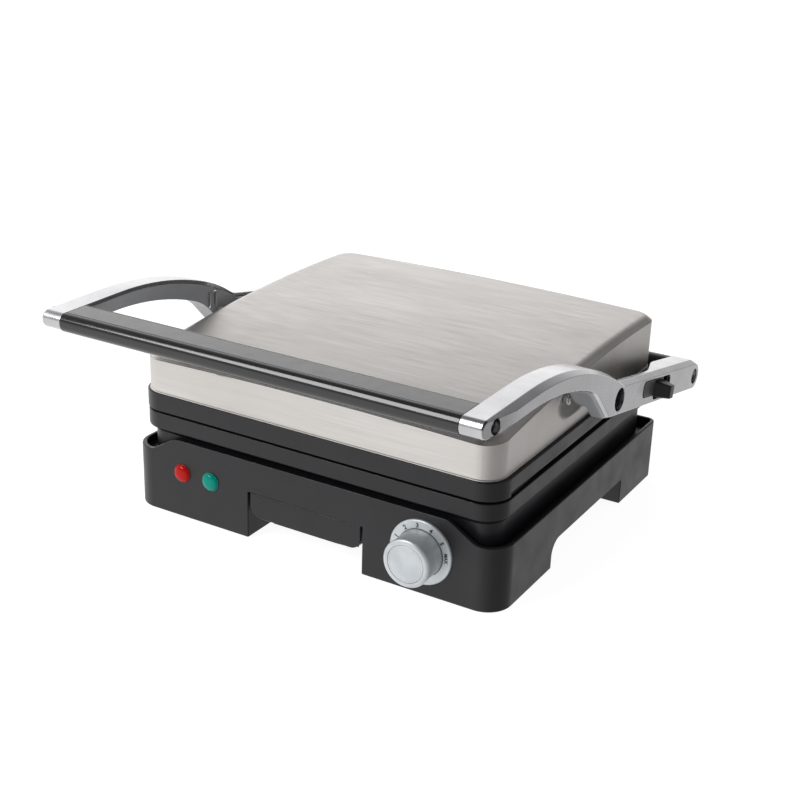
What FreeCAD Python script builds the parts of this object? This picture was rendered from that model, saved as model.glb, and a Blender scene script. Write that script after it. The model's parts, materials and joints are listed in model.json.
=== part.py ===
"""Panini press: a contact grill whose upper head floats on two pins between a pair of lid arms.

All lengths are in millimetres, +Z is up. While the pieces are built, y = 0 is the front face of the
base and x = 0 is the middle plane of the arms. save() moves every piece by SHIFT_X and SHIFT_Y, so
the finished part has its origin on the table, under the middle of its own footprint.
"""
import FreeCAD, Part
import math
import os

V = FreeCAD.Vector
os.makedirs("parts", exist_ok=True)

# ---------------------------------------------------------------- driving sizes
CLEAR = 0.3               # gap between pieces that move past each other
FIT = 0.05                # radial running clearance of a pin or a shaft
SNUG = 0.15               # clearance round a part that is clamped or let in

BASE_W = 330.0            # width of the base
BASE_D = 288.8            # depth of the base
BASE_R = 20.0             # upright corners of the base, at the front
BASE_REAR_R = 7.0         # and at the rear
RIM_Z = 52.7              # top of the rim at the sides and the rear
FASCIA_Z = 66.6           # top of the raised front fascia
FASCIA_RUN = 23.0         # length of the slope at each end of it
FASCIA_END = 20.0         # from the foot of that slope to the side of the base
WALL = 3.0                # walls of the base
FASCIA_T = 4.0            # front wall, fascia included
FOOT_T = 1.5              # rubber foot below a leg
FOOT_R = 9.0
FOOT_SEAT = 1.5           # how deep a foot is let in
FOOT_IN = 24.5            # from the sides of the base to the middle of a foot
LEG_FLOOR = 3.0           # bottom of a leg
BELLY_Z = 23.0            # underside between the legs
BELLY_T = 2.5             # bottom cover
LEG_FRONT_D = 87.0        # depth of the front legs
LEG_REAR_D = 70.8         # depth of the rear legs
LEG_REAR_W = 65.0         # width of the rear legs
PASSAGE_R = 12.0          # rounding where a front leg meets the belly
SHELF_DROP = 6.7          # channel round the lower housing, below the rim
SHELF_T = 2.5

TRAY_HALF = 49.8          # half-width of the drip tray's front
TRAY_PLAY = 1.7           # gap at each side of it
TRAY_TOP = 40.2
TRAY_BOTTOM = 20.3
TRAY_D = 190.0
TRAY_STOP = 6.0           # from the tray's rear to the end of its bay
TRAY_WALL = 2.0
TRAY_FLANGE = 3.0         # flanges that run on the rails
RAIL_Z = 34.0
RAIL_T = 2.0
DRAIN_Y = 24.0
DRAIN_R = 6.0

HOUSE_IN = 6.2            # the plate housings are set in from the sides of the base
HOUSE_FRONT = 2.6         # and from its front
HOUSE_BACK = 0.8          # and from its rear
HOUSE_R = 20.0
HOUSE_T = 2.6
SEAM_Z = 84.0             # top of the lower housing
LIP_H = 13.0              # height of its lip
LIP_IN = 4.6              # how far the body below the lip is set in
SEAM_GAP = 1.9            # gap between the housings at the front
SIDE_RELIEF = 2.6         # the upper housing is cut up by this at the sides
FRAME_H = 16.6            # from the seam to the bottom edge of the steel cover

PLATE_EDGE_X = 10.3       # from the side of a housing to its cooking plate
PLATE_EDGE_Y = 24.2       # the same at the front and the rear
PLATE_T = 5.0
PLATE_R = 10.0
PLATE_GAP = 1.6           # between the facing ribs, closed
RIB_H = 3.6
RIB_PITCH = 16.0
RIB_W = 6.0
LEDGE_W = 6.0             # ledge that a plate rests on
LEDGE_T = 2.5
ELEMENT_R = 3.3
ELEMENT_LEVEL = 4.6       # element's axis from the back of the plate
REFLECTOR_T = 1.0
REFLECTOR_LEVEL = 12.0

COVER_IN = 3.2            # steel cover, set in from the side of the housing
COVER_FRONT = 3.0
COVER_OVER = 6.0          # and standing out behind it
COVER_R = 18.0
COVER_T = 0.9
COVER_H = 48.0            # from its bottom edge to its highest line
CROWN_BACK = 68.8         # from that line to the rear of the base
CROWN_R = 1600.0          # radius of the crown from front to rear
CROWN_SIDE_R = 4500.0     # radius of the crown from side to side
ROLL_R = 8.0              # rolled edge of the cover's top
SCOOP_LONG = 34.0         # half-length of the spheroid that shapes the scoop round each pin
SCOOP_ROUND = 15.5        # its radius
SCOOP_DEPTH = 7.0         # how deep it presses the side in

HINGE_BACK = 23.2         # hinge axis behind the base
HINGE_UP = 5.0            # and above the seam
HINGE_BOSS_R = 13.0       # rear end of the arms
SHAFT_R = 5.0
BUSH_R = 7.5
CAP_R = 6.5
BARREL_R = 12.5
BARREL_END = 0.5          # gap between the barrel and an arm
HINGE_COVER_T = 2.5
WEB_IN = 47.0             # web of the hinge cover, set in from the sides of the base

PIVOT_FORWARD = 185.0     # pins that carry the head, in front of the hinge axis
PIVOT_UP = 35.0           # and above it
PIN_R = 4.0
PIN_COLLAR_R = 6.0
PIVOT_BUSH_R = 6.5

ARM_GAP = 5.2             # between the housings and the arms
ARM_W = 22.0
ARM_UP = 91.6             # top of the arms at the handle, above the hinge axis
ARM_H = 13.4              # height of the arms at the handle
ARM_BEVEL_W = 6.0
ARM_BEVEL_H = 2.6
ARM_WALL = 3.0
ARM_TOP_R = 295.0         # sweep of the arch, above and below
ARM_UNDER_R = 268.0
ARM_SLOPE = 11.6          # fall of the rear bar, degrees
ARM_ARCH_END = 32.0       # fall of the arch where it meets the bar, degrees
ARCH_AHEAD = 133.0        # where the arch begins, in front of the pins: above
UNDER_AHEAD = 142.0       # and below
BAR_STEP = 12.5           # the slim rear bar is this much narrower than the arm
KNUCKLE_STEP = 8.0        # and the inner cover at the knuckle this much
KNUCKLE_BACK = 15.0       # knuckle recess, behind the pins
KNUCKLE_HOLE_R = 9.0
HANDLE_FRONT = -73.0
HANDLE_D = 29.0
HANDLE_R = 6.4
CORE_R = 4.0
SLOT_AHEAD = 63.0         # rear end of the lever's slot, in front of the hinge axis
SLOT_L = 61.0
SLOT_H = 17.0
SLOT_NECK_L = 25.0        # its front stretch is lower than the rest, level with the rest at the top
SLOT_NECK_H = 12.8
SLOT_R = 4.0
LEVER_TRAVEL = 8.0
LEVER_SUNK = 2.5          # the lever's foot lies this far below the arm's face
TAB_PROUD = 9.6           # and the tab for the thumb stands this far out of it
TAB_L = 18.5              # tab at its root, along the bar
TAB_TIP_L = 8.0
TAB_TIP_H = 10.5

KNOB_IN = 63.5            # knob, from the right side of the base
KNOB_Z = 35.7
KNOB_R = 18.7
KNOB_FLARE = 1.6          # its skirt is wider by this
KNOB_L = 20.6
SPINDLE_R = 3.0
DIAL_RIM = 5.1            # the dial ring is wider than the skirt by this
DIAL_T = 2.0
LAMPS_IN = (50.4, 77.8)   # lamps, from the left side of the base
LAMP_Z = 39.4
LAMP_R = 7.6
LAMP_STEM_R = 4.0

SCREW_R = 2.0
SCREW_HEAD_R = 3.8
SCREW_HEAD_T = 2.2
SCREW_L = 12.0
BOSS_R = 5.0
INLET_IN = 30.0           # cord inlet, from the left side of the base
INLET_Z = 34.0
INLET_R = 8.0
CORD_BORE_R = 3.6
TERMINAL_X = -60.0

# ---------------------------------------------------------------- places that follow from them
HALF_W = BASE_W / 2
SHELF_Z = RIM_Z - SHELF_DROP
FASCIA_HALF = HALF_W - FASCIA_END - FASCIA_RUN
LEG_Z = FOOT_T
LEG_REAR_Y = BASE_D - LEG_REAR_D
LEG_REAR_IN = HALF_W - LEG_REAR_W
TRAY_BAY_HALF = TRAY_HALF + TRAY_PLAY
BAY_END = TRAY_D + TRAY_STOP

HOUSE_HALF = HALF_W - HOUSE_IN
HOUSE_REAR = BASE_D - HOUSE_BACK
LIP_Z = SEAM_Z - LIP_H
FRAME_TOP = SEAM_Z + FRAME_H
BODY_HALF = HOUSE_HALF - LIP_IN
BODY_FRONT = HOUSE_FRONT + LIP_IN + 1.6
BODY_REAR = HOUSE_REAR - LIP_IN
BODY_R = HOUSE_R - LIP_IN
PLATE_HALF = HOUSE_HALF - PLATE_EDGE_X
PLATE_Y0 = HOUSE_FRONT + PLATE_EDGE_Y
PLATE_Y1 = HOUSE_REAR - PLATE_EDGE_Y
LOWER_RIB_TOP = SEAM_Z + SEAM_GAP / 2 - PLATE_GAP / 2
LOWER_PLATE_Z = LOWER_RIB_TOP - RIB_H - PLATE_T      # underside of the lower plate
UPPER_RIB_BOTTOM = LOWER_RIB_TOP + PLATE_GAP
UPPER_PLATE_Z = UPPER_RIB_BOTTOM + RIB_H + PLATE_T   # back of the upper plate

COVER_HALF = HOUSE_HALF - COVER_IN
COVER_REAR = HOUSE_REAR + COVER_OVER
CROWN_Z = FRAME_TOP + COVER_H
CROWN_Y = BASE_D - CROWN_BACK

HINGE_Y = BASE_D + HINGE_BACK
HINGE_Z = SEAM_Z + HINGE_UP
PIVOT_Y = HINGE_Y - PIVOT_FORWARD
PIVOT_Z = HINGE_Z + PIVOT_UP
PIN_INNER = COVER_HALF - SCOOP_DEPTH - COVER_T - 0.6

ARM_IN = HOUSE_HALF + ARM_GAP
ARM_OUT = ARM_IN + ARM_W
ARM_TOP = HINGE_Z + ARM_UP
ARM_UNDER = ARM_TOP - ARM_H
BAR_IN = ARM_IN + BAR_STEP
KNUCKLE_IN = ARM_IN + KNUCKLE_STEP
ARCH_START = PIVOT_Y - ARCH_AHEAD
UNDER_START = PIVOT_Y - UNDER_AHEAD
CAVITY_FRONT = HANDLE_FRONT + 31.0
CAVITY_REAR = HINGE_Y - 20.0
HANDLE_REAR = HANDLE_FRONT + HANDLE_D
HANDLE_MID_Z = (ARM_TOP + ARM_UNDER) / 2
CORE_END = ARM_IN + 10.0
CORE_Y = (HANDLE_FRONT + HANDLE_REAR) / 2
INSERT_FRONT = HANDLE_FRONT + 7.0
INSERT_REAR = HANDLE_REAR - 1.6
INSERT_T = 1.2
KNUCKLE_HOLE_Y = PIVOT_Y + KNUCKLE_BACK
KNUCKLE_HOLE_Z = PIVOT_Z + 1.0
SLOT_Y1 = HINGE_Y - SLOT_AHEAD
SLOT_Y0 = SLOT_Y1 - SLOT_L
SLOT_NECK_Y = SLOT_Y0 + SLOT_NECK_L

KNOB_X = HALF_W - KNOB_IN
KNOB_SKIRT_R = KNOB_R + KNOB_FLARE
DIAL_R = KNOB_SKIRT_R + DIAL_RIM
LAMP_XS = [inset - HALF_W for inset in LAMPS_IN]
INLET_X = INLET_IN - HALF_W
WEB_HALF = HALF_W - WEB_IN
FOOT_SPOTS = [(s * (HALF_W - FOOT_IN), y) for s in (-1, 1) for y in (FOOT_IN, BASE_D - FOOT_IN)]
BOSS_MID = (LEG_FRONT_D + LEG_REAR_Y) / 2
BOTTOM_BOSSES = [(s * x, y) for s in (-1, 1)
                 for x, y in ((HALF_W - 15, LEG_FRONT_D + 23), (HALF_W - 15, LEG_REAR_Y - 22),
                              (TRAY_BAY_HALF + 28.5, BOSS_MID), (LEG_REAR_IN - 20, BASE_D - 38.8))]
PLATE_SCREW_SPOTS = [(s * (PLATE_HALF - 3.5), y) for s in (-1, 1) for y in (PLATE_Y0 + 40, PLATE_Y1 - 40)]
PLATE_SCREW_L = LEDGE_T + PLATE_T - 1.5

SHIFT_X = TAB_PROUD / 2
SHIFT_Y = (HINGE_Y + HINGE_BOSS_R + HANDLE_FRONT) / 2


# ---------------------------------------------------------------- small shape tools
def save(name, shape):
    """Writes one node, moved so that the footprint is centred on the origin."""
    moved = shape.copy()
    moved.translate(V(-SHIFT_X, -SHIFT_Y, 0))
    moved.exportStep("parts/%s.step" % name)
    facts = (name, len(moved.Solids), moved.Volume, moved.isValid())
    print("%-26s solids %2d volume %10.1f valid %s" % facts)


def box(x0, x1, y0, y1, z0, z1):
    return Part.makeBox(x1 - x0, y1 - y0, z1 - z0, V(x0, y0, z0))


def outline(corners, place):
    """Closed wire with a rounded corner at each (a, b, radius); place turns (a, b) into a point."""
    count = len(corners)
    edges = []
    tangents = []
    for i in range(count):
        a, b, r = corners[i]
        here = V(a, b, 0)
        before = V(*corners[i - 1][:2], 0) - here
        after = V(*corners[(i + 1) % count][:2], 0) - here
        before.normalize()
        after.normalize()
        half = before.getAngle(after) / 2
        if r <= 0:
            tangents.append((here, here, here))
            continue
        run = r / math.tan(half)
        middle = before + after
        middle.normalize()
        mid = here + middle * (r / math.sin(half) - r)
        tangents.append((here + before * run, mid, here + after * run))
    for i in range(count):
        start, mid, end = tangents[i]
        nxt = tangents[(i + 1) % count][0]
        if (end - start).Length > 1e-6:
            arc = Part.Arc(place(start.x, start.y), place(mid.x, mid.y), place(end.x, end.y))
            edges.append(arc.toShape())
        if (nxt - end).Length > 1e-6:
            edges.append(Part.LineSegment(place(end.x, end.y), place(nxt.x, nxt.y)).toShape())
    return Part.Wire(Part.__sortEdges__(edges))


def prism_x(corners, x0, x1):
    """Prism along X of an outline in (y, z)."""
    wire = outline(corners, lambda y, z: V(x0, y, z))
    return Part.Face(wire).extrude(V(x1 - x0, 0, 0))


def prism_y(corners, y0, y1):
    """Prism along Y of an outline in (x, z)."""
    wire = outline(corners, lambda x, z: V(x, y0, z))
    return Part.Face(wire).extrude(V(0, y1 - y0, 0))


def prism_z(corners, z0, z1):
    """Prism along Z of an outline in (x, y)."""
    wire = outline(corners, lambda x, y: V(x, y, z0))
    return Part.Face(wire).extrude(V(0, 0, z1 - z0))


def slab(half, y0, y1, z0, z1, r, rear_r=None):
    """Block with rounded upright corners; the rear ones may have a radius of their own."""
    back = r if rear_r is None else rear_r
    return prism_z([(-half, y0, r), (half, y0, r), (half, y1, back), (-half, y1, back)], z0, z1)


def rod_x(y, z, r, x0, x1):
    return Part.makeCylinder(r, x1 - x0, V(x0, y, z), V(1, 0, 0))


def rod_y(x, z, r, y0, y1):
    return Part.makeCylinder(r, y1 - y0, V(x, y0, z), V(0, 1, 0))


def rod_z(x, y, r, z0, z1):
    return Part.makeCylinder(r, z1 - z0, V(x, y, z0), V(0, 0, 1))


def mirrored(shape):
    return shape.mirror(V(0, 0, 0), V(1, 0, 0))


def both(shape):
    """The piece and its mirror image, as one group of separate solids."""
    return Part.makeCompound([shape, mirrored(shape)])


def screw(x, y, z, length, axis):
    """Pan-head screw; the head's underside is at (x, y, z) and the shank runs along axis."""
    direction = V(*axis)
    head = Part.makeCylinder(SCREW_HEAD_R, SCREW_HEAD_T, V(x, y, z) - direction * SCREW_HEAD_T, direction)
    shank = Part.makeCylinder(SCREW_R, length, V(x, y, z), direction)
    cross = box(-3, 3, -0.5, 0.5, -0.5, 0.5).fuse(box(-0.5, 0.5, -3, 3, -0.5, 0.5))
    turn = FreeCAD.Rotation(V(0, 0, 1), direction)
    cross.Placement = FreeCAD.Placement(V(x, y, z) - direction * SCREW_HEAD_T, turn)
    return head.fuse(shank).cut(cross)


def hole(x, y, z, length, axis, extra=0.0):
    """Hole that a screw's shank fills."""
    return Part.makeCylinder(SCREW_R + extra, length, V(x, y, z), V(*axis))


# ---------------------------------------------------------------- base
def leg_cavities():
    """Hollows of the four legs, open upwards into the base."""
    front = box(TRAY_BAY_HALF + WALL, HALF_W - WALL, FASCIA_T, LEG_FRONT_D - WALL, LEG_Z + LEG_FLOOR,
                BELLY_Z + BELLY_T + 0.01)
    rear = box(LEG_REAR_IN + WALL, HALF_W - WALL, LEG_REAR_Y + WALL, BASE_D - WALL, LEG_Z + LEG_FLOOR,
               BELLY_Z + BELLY_T + 0.01)
    rounded = slab(HALF_W - WALL, FASCIA_T, BASE_D - WALL, LEG_Z, SHELF_Z, BASE_R - WALL, BASE_REAR_R - WALL)
    return front.fuse([mirrored(front), rear, mirrored(rear)]).common(rounded)


def fascia_cut():
    """What is taken off above the side rims, leaving the raised front with its sloped ends."""
    top = FASCIA_Z + 10
    end = FASCIA_HALF + FASCIA_RUN
    left = [(-end - 6, RIM_Z - 1, 0), (-end - 6, RIM_Z, 0), (-end, RIM_Z, 14), (-FASCIA_HALF, FASCIA_Z, 14)]
    right = [(-x, z, r) for x, z, r in reversed(left)]
    keep = prism_y(left + right, -1, FASCIA_T + 1)
    return box(-HALF_W - 1, HALF_W + 1, -1, BASE_D + 1, RIM_Z, top).cut(keep)


def base_housing():
    body = slab(HALF_W, 0, BASE_D, LEG_Z, FASCIA_Z, BASE_R, BASE_REAR_R)
    inner = (HALF_W - WALL, FASCIA_T, BASE_D - WALL)
    inner_r = (BASE_R - WALL, BASE_REAR_R - WALL)
    body = body.cut(slab(*inner, SHELF_Z, FASCIA_Z + 1, *inner_r))
    body = body.cut(fascia_cut())
    body = body.cut(slab(*inner, BELLY_Z + BELLY_T, SHELF_Z - SHELF_T, *inner_r))
    body = body.cut(leg_cavities())
    # the channels under the belly, side to side and out at the rear, and the bay of the tray
    side = prism_x([(LEG_FRONT_D, LEG_Z - 1, 0), (LEG_FRONT_D, BELLY_Z, PASSAGE_R),
                    (LEG_REAR_Y, BELLY_Z, 1.5), (LEG_REAR_Y, LEG_Z - 1, 0)], -HALF_W - 1, HALF_W + 1)
    rear = prism_y([(-LEG_REAR_IN, LEG_Z - 1, 0), (-LEG_REAR_IN, BELLY_Z, 6), (LEG_REAR_IN, BELLY_Z, 6),
                    (LEG_REAR_IN, LEG_Z - 1, 0)], LEG_REAR_Y - 1, BASE_D + 1)
    under, over = BELLY_Z - 1, BELLY_Z + BELLY_T + 1
    plate_seat = box(-HALF_W + WALL, HALF_W - WALL, LEG_FRONT_D, LEG_REAR_Y, under, over)
    plate_seat = plate_seat.fuse(box(-LEG_REAR_IN, LEG_REAR_IN, LEG_REAR_Y - 1, BASE_D - WALL, under, over))
    half = TRAY_BAY_HALF + WALL
    bay = box(-half, half, FASCIA_T, BAY_END + WALL, BELLY_Z, SHELF_Z - SHELF_T)
    mouth = box(-TRAY_BAY_HALF, TRAY_BAY_HALF, -1, LEG_FRONT_D + PASSAGE_R + 1, LEG_Z - 1, TRAY_TOP + CLEAR)
    body = body.cut(side).cut(rear).cut(plate_seat).cut(bay).cut(mouth)
    body = body.cut(rod_z(0, DRAIN_Y, DRAIN_R, TRAY_TOP, SHELF_Z + 1))
    opening = (HOUSE_HALF - LIP_IN - 10, HOUSE_FRONT + LIP_IN + 14, HOUSE_REAR - LIP_IN - 10)
    body = body.cut(slab(*opening, SHELF_Z - SHELF_T - 1, SHELF_Z + 1, 12))
    bosses = [rod_z(x, y, BOSS_R, BELLY_Z + BELLY_T, SHELF_Z - SHELF_T) for x, y in BOTTOM_BOSSES]
    body = body.fuse(bosses + [boss_ribs()])
    for x, y in BOTTOM_BOSSES:
        body = body.cut(hole(x, y, BELLY_Z, SCREW_L, (0, 0, 1)))
    # openings of the front panel
    body = body.cut(rod_y(KNOB_X, KNOB_Z, KNOB_SKIRT_R * 0.5, -1, FASCIA_T + 1))
    for x in LAMP_XS:
        body = body.cut(rod_y(x, LAMP_Z, LAMP_STEM_R + SNUG, -1, FASCIA_T + 1))
    body = body.cut(rod_y(INLET_X, INLET_Z, INLET_R, BASE_D - WALL - 1, BASE_D + 1))
    for x, y in FOOT_SPOTS:
        body = body.cut(rod_z(x, y, FOOT_R, LEG_Z, LEG_Z + FOOT_SEAT))
    return body.removeSplitter()


def tray_channel():
    """Roof, cheeks and rear wall that the drip tray slides between, with a rail on each cheek."""
    half = TRAY_BAY_HALF + WALL
    outer = box(-half, half, FASCIA_T, BAY_END + WALL, BELLY_Z, SHELF_Z - SHELF_T)
    inner = box(-TRAY_BAY_HALF, TRAY_BAY_HALF, FASCIA_T - 1, BAY_END, BELLY_Z - 1, TRAY_TOP + CLEAR)
    rail = box(TRAY_HALF - TRAY_FLANGE, TRAY_BAY_HALF, 2 * FASCIA_T, BAY_END, RAIL_Z - RAIL_T, RAIL_Z)
    channel = outer.cut(inner).fuse([rail, mirrored(rail)])
    return channel.cut(rod_z(0, DRAIN_Y, DRAIN_R, TRAY_TOP, SHELF_Z)).removeSplitter()


def boss_ribs():
    """Ribs that tie the inner screw bosses to the shelf above and to the rear wall."""
    rib = 1.0
    low, high = BELLY_Z + BELLY_T, SHELF_Z - SHELF_T
    ribs = []
    for x, y in BOTTOM_BOSSES:
        if y > LEG_REAR_Y:
            ribs.append(box(x - rib, x + rib, y, BASE_D - WALL, low, high))
        elif abs(x) < HALF_W - 20:
            outward = math.copysign(HALF_W - WALL, x)
            ribs.append(box(min(x, outward), max(x, outward), y - rib, y + rib, low, high))
    return ribs[0].fuse(ribs[1:])


def rubber_feet():
    feet = []
    for x, y in FOOT_SPOTS:
        foot = rod_z(x, y, FOOT_R, 0, LEG_Z + FOOT_SEAT)
        feet.append(foot.makeFillet(0.8, [e for e in foot.Edges if e.BoundBox.ZMax < 0.01]))
    return Part.makeCompound(feet)


def bottom_cover():
    """Plate that closes the belly, with the tray's bay left open and rows of vents."""
    side = box(-HALF_W + WALL, HALF_W - WALL, LEG_FRONT_D, LEG_REAR_Y, BELLY_Z, BELLY_Z + BELLY_T)
    rear = box(-LEG_REAR_IN, LEG_REAR_IN, LEG_REAR_Y - 1, BASE_D - WALL, BELLY_Z, BELLY_Z + BELLY_T)
    half = TRAY_BAY_HALF + WALL
    bay = box(-half, half, 0, BAY_END + WALL, BELLY_Z - 1, BELLY_Z + BELLY_T + 1)
    plate = side.fuse(rear).cut(bay)
    for x, y in BOTTOM_BOSSES:
        plate = plate.cut(hole(x, y, BELLY_Z - 1, SCREW_L, (0, 0, 1)))
    for s in (-1, 1):
        for i in range(9):
            x, y = s * (HALF_W - 50), LEG_FRONT_D + 25 + i * 10.0
            plate = plate.cut(box(x - 17, x + 17, y, y + 3, BELLY_Z - 1, BELLY_Z + BELLY_T + 1))
    return plate.removeSplitter()


def bottom_screws():
    return Part.makeCompound([screw(x, y, BELLY_Z, SCREW_L - 1, (0, 0, 1)) for x, y in BOTTOM_BOSSES])


# ---------------------------------------------------------------- lower housing and plate
def lower_plate_housing():
    """Tub with an overhanging lip; the plate drops into its mouth and the sides stand in the base."""
    body = slab(BODY_HALF, BODY_FRONT, BODY_REAR, SHELF_Z, LIP_Z - LIP_IN, BODY_R)
    lip = slab(HOUSE_HALF, HOUSE_FRONT, HOUSE_REAR, LIP_Z, SEAM_Z, HOUSE_R)
    low = outline([(-BODY_HALF, BODY_FRONT, BODY_R), (BODY_HALF, BODY_FRONT, BODY_R),
                   (BODY_HALF, BODY_REAR, BODY_R), (-BODY_HALF, BODY_REAR, BODY_R)],
                  lambda x, y: V(x, y, LIP_Z - LIP_IN))
    high = outline([(-HOUSE_HALF, HOUSE_FRONT, HOUSE_R), (HOUSE_HALF, HOUSE_FRONT, HOUSE_R),
                    (HOUSE_HALF, HOUSE_REAR, HOUSE_R), (-HOUSE_HALF, HOUSE_REAR, HOUSE_R)],
                   lambda x, y: V(x, y, LIP_Z))
    chamfer = Part.makeLoft([low, high], True, True)
    tub = body.fuse([chamfer, lip])
    inside = slab(BODY_HALF - HOUSE_T, BODY_FRONT + HOUSE_T, BODY_REAR - HOUSE_T, SHELF_Z + HOUSE_T,
                  LOWER_PLATE_Z - LEDGE_T, BODY_R - HOUSE_T)
    well = (PLATE_HALF - LEDGE_W, PLATE_Y0 + LEDGE_W, PLATE_Y1 - LEDGE_W)
    inside = inside.fuse(slab(*well, SHELF_Z + HOUSE_T, LOWER_PLATE_Z + 1, 8))
    mouth = slab(PLATE_HALF + CLEAR, PLATE_Y0 - CLEAR, PLATE_Y1 + CLEAR, LOWER_PLATE_Z, SEAM_Z + 1,
                 PLATE_R + CLEAR)
    tub = tub.cut(inside).cut(mouth)
    low, high = SHELF_Z - 1, SHELF_Z + HOUSE_T + 1
    vents = [box(-40 + i * 20, -30 + i * 20, BOSS_MID - 33, BOSS_MID + 17, low, high) for i in range(5)]
    tub = tub.cut(vents[0].fuse(vents[1:]))
    return tub.cut(rod_z(0, DRAIN_Y, DRAIN_R, SHELF_Z - 1, SEAM_Z + 1)).removeSplitter()


def grill_plate(back_z, facing):
    """Cast plate with parallel ribs and a rim; facing is +1 for ribs up, -1 for ribs down."""
    front_z = back_z + facing * PLATE_T
    low, high = min(back_z, front_z), max(back_z, front_z)
    plate = slab(PLATE_HALF, PLATE_Y0, PLATE_Y1, low, high, PLATE_R)
    rib_low, rib_high = min(front_z, front_z + facing * RIB_H), max(front_z, front_z + facing * RIB_H)
    rim = slab(PLATE_HALF, PLATE_Y0, PLATE_Y1, rib_low, rib_high, PLATE_R)
    rim = rim.cut(slab(PLATE_HALF - 5, PLATE_Y0 + 5, PLATE_Y1 - 5, rib_low - 1, rib_high + 1, 6))
    count = int((2 * PLATE_HALF - 34) / RIB_PITCH) + 1
    first = -(count - 1) * RIB_PITCH / 2
    ribs = []
    for i in range(count):
        x = first + i * RIB_PITCH
        top = RIB_W / 2 - 1.0
        rib = prism_y([(x - RIB_W / 2, front_z, 0), (x + RIB_W / 2, front_z, 0),
                       (x + top, front_z + facing * RIB_H, 0), (x - top, front_z + facing * RIB_H, 0)],
                      PLATE_Y0 + 16, PLATE_Y1 - 11)
        ribs.append(rib)
    return plate.fuse([rim] + ribs).removeSplitter()


def lower_grill_plate():
    plate = grill_plate(LOWER_PLATE_Z, 1)
    notch = box(-DRAIN_R, DRAIN_R, PLATE_Y0 - 1, PLATE_Y0 + 6, LOWER_PLATE_Z + PLATE_T, SEAM_Z + 2)
    return plate.cut(notch)


def element(axis_z):
    """Sheathed heating loop: two long runs joined by bends, with both cold ends at the rear."""
    y0, y1 = PLATE_Y0 + 30, PLATE_Y1 - 26
    x = PLATE_HALF - 34
    bend = 30.0
    points = [(-20, y1 + 14), (-20, y1 - 26), (-x, y1 - 26), (-x, y0), (x, y0), (x, y1 - 26), (20, y1 - 26),
              (20, y1 + 14)]
    edges = []
    start = V(points[0][0], points[0][1], axis_z)
    for i in range(1, len(points) - 1):
        here = V(points[i][0], points[i][1], axis_z)
        before = V(points[i - 1][0], points[i - 1][1], axis_z) - here
        after = V(points[i + 1][0], points[i + 1][1], axis_z) - here
        before.normalize()
        after.normalize()
        r = bend if 2 < i < 5 else 12.0
        run = r
        mid_dir = before + after
        mid_dir.normalize()
        a, b = here + before * run, here + after * run
        mid = here + mid_dir * (r * (math.sqrt(2) - 1))
        edges.append(Part.LineSegment(start, a).toShape())
        edges.append(Part.Arc(a, mid, b).toShape())
        start = b
    edges.append(Part.LineSegment(start, V(points[-1][0], points[-1][1], axis_z)).toShape())
    path = Part.Wire(edges)
    ring = Part.Wire(Part.makeCircle(ELEMENT_R, V(points[0][0], points[0][1], axis_z), V(0, -1, 0)))
    return path.makePipeShell([ring], True, False)


def element_clips(axis_z, facing):
    """Pads by which the element is clamped to the back of its plate."""
    pads = []
    back = axis_z + facing * ELEMENT_LEVEL
    for x in (-1, 1):
        for y in (PLATE_Y0 + 75, PLATE_Y1 - 75):
            cx = x * (PLATE_HALF - 34)
            z0, z1 = sorted((back, axis_z - facing * (ELEMENT_R + 1.2)))
            pad = box(cx - 6, cx + 6, y - 8, y + 8, z0, z1)
            pads.append(pad.cut(rod_y(cx, axis_z, ELEMENT_R + SNUG, y - 9, y + 9)))
    return Part.makeCompound(pads)


def reflector(z0, facing):
    """Bright dished sheet behind the element, standing on the back of the plate's housing."""
    half, y0, y1 = PLATE_HALF - 12, PLATE_Y0 + 12, PLATE_Y1 - 8
    z1 = z0 + facing * REFLECTOR_T
    low, high = sorted((z0, z1))
    sheet = slab(half, y0, y1, low, high, 12)
    wall_low, wall_high = sorted((z0, z0 + facing * REFLECTOR_LEVEL))
    wall = slab(half, y0, y1, wall_low, wall_high, 12)
    within = (half - REFLECTOR_T, y0 + REFLECTOR_T, y1 - REFLECTOR_T)
    wall = wall.cut(slab(*within, wall_low - 1, wall_high + 1, 11))
    slot = box(-30, 30, y1 - 4, y1 + 2, wall_low - 1, wall_high + 1)
    return sheet.fuse(wall).cut(slot).removeSplitter()


def drain_chute():
    """Short tube that leads fat from the plate's front edge down to the drip tray."""
    tube = rod_z(0, DRAIN_Y, DRAIN_R, TRAY_TOP + CLEAR, LOWER_PLATE_Z - 1.0)
    return tube.cut(rod_z(0, DRAIN_Y, DRAIN_R - 1.5, TRAY_TOP, SEAM_Z))


# ---------------------------------------------------------------- controls
def thermostat():
    body = rod_y(KNOB_X, KNOB_Z, 15.5, FASCIA_T + 1.5, FASCIA_T + 20)
    body = body.common(box(KNOB_X - 20, KNOB_X + 20, 0, 40, 0, SHELF_Z - SHELF_T - CLEAR))
    flange = box(KNOB_X - 20, KNOB_X + 20, FASCIA_T, FASCIA_T + 1.5, KNOB_Z - 13, KNOB_Z + 6.5)
    tabs = [box(KNOB_X + dx - 2, KNOB_X + dx + 2, FASCIA_T + 20, FASCIA_T + 29, KNOB_Z - 1, KNOB_Z - 0.2)
            for dx in (-9, 9)]
    bore = rod_y(KNOB_X, KNOB_Z, SPINDLE_R + FIT, FASCIA_T - 1, FASCIA_T + 14)
    return body.fuse([flange] + tabs).cut(bore).removeSplitter()


def dial_ring():
    ring = rod_y(KNOB_X, KNOB_Z, DIAL_R, -DIAL_T, 0)
    edge = [e for e in ring.Edges if e.BoundBox.YMax < -DIAL_T + 0.01]
    ring = ring.makeChamfer(0.6, edge)
    return ring.cut(rod_y(KNOB_X, KNOB_Z, KNOB_SKIRT_R * 0.5, -DIAL_T - 1, 1))


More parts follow.
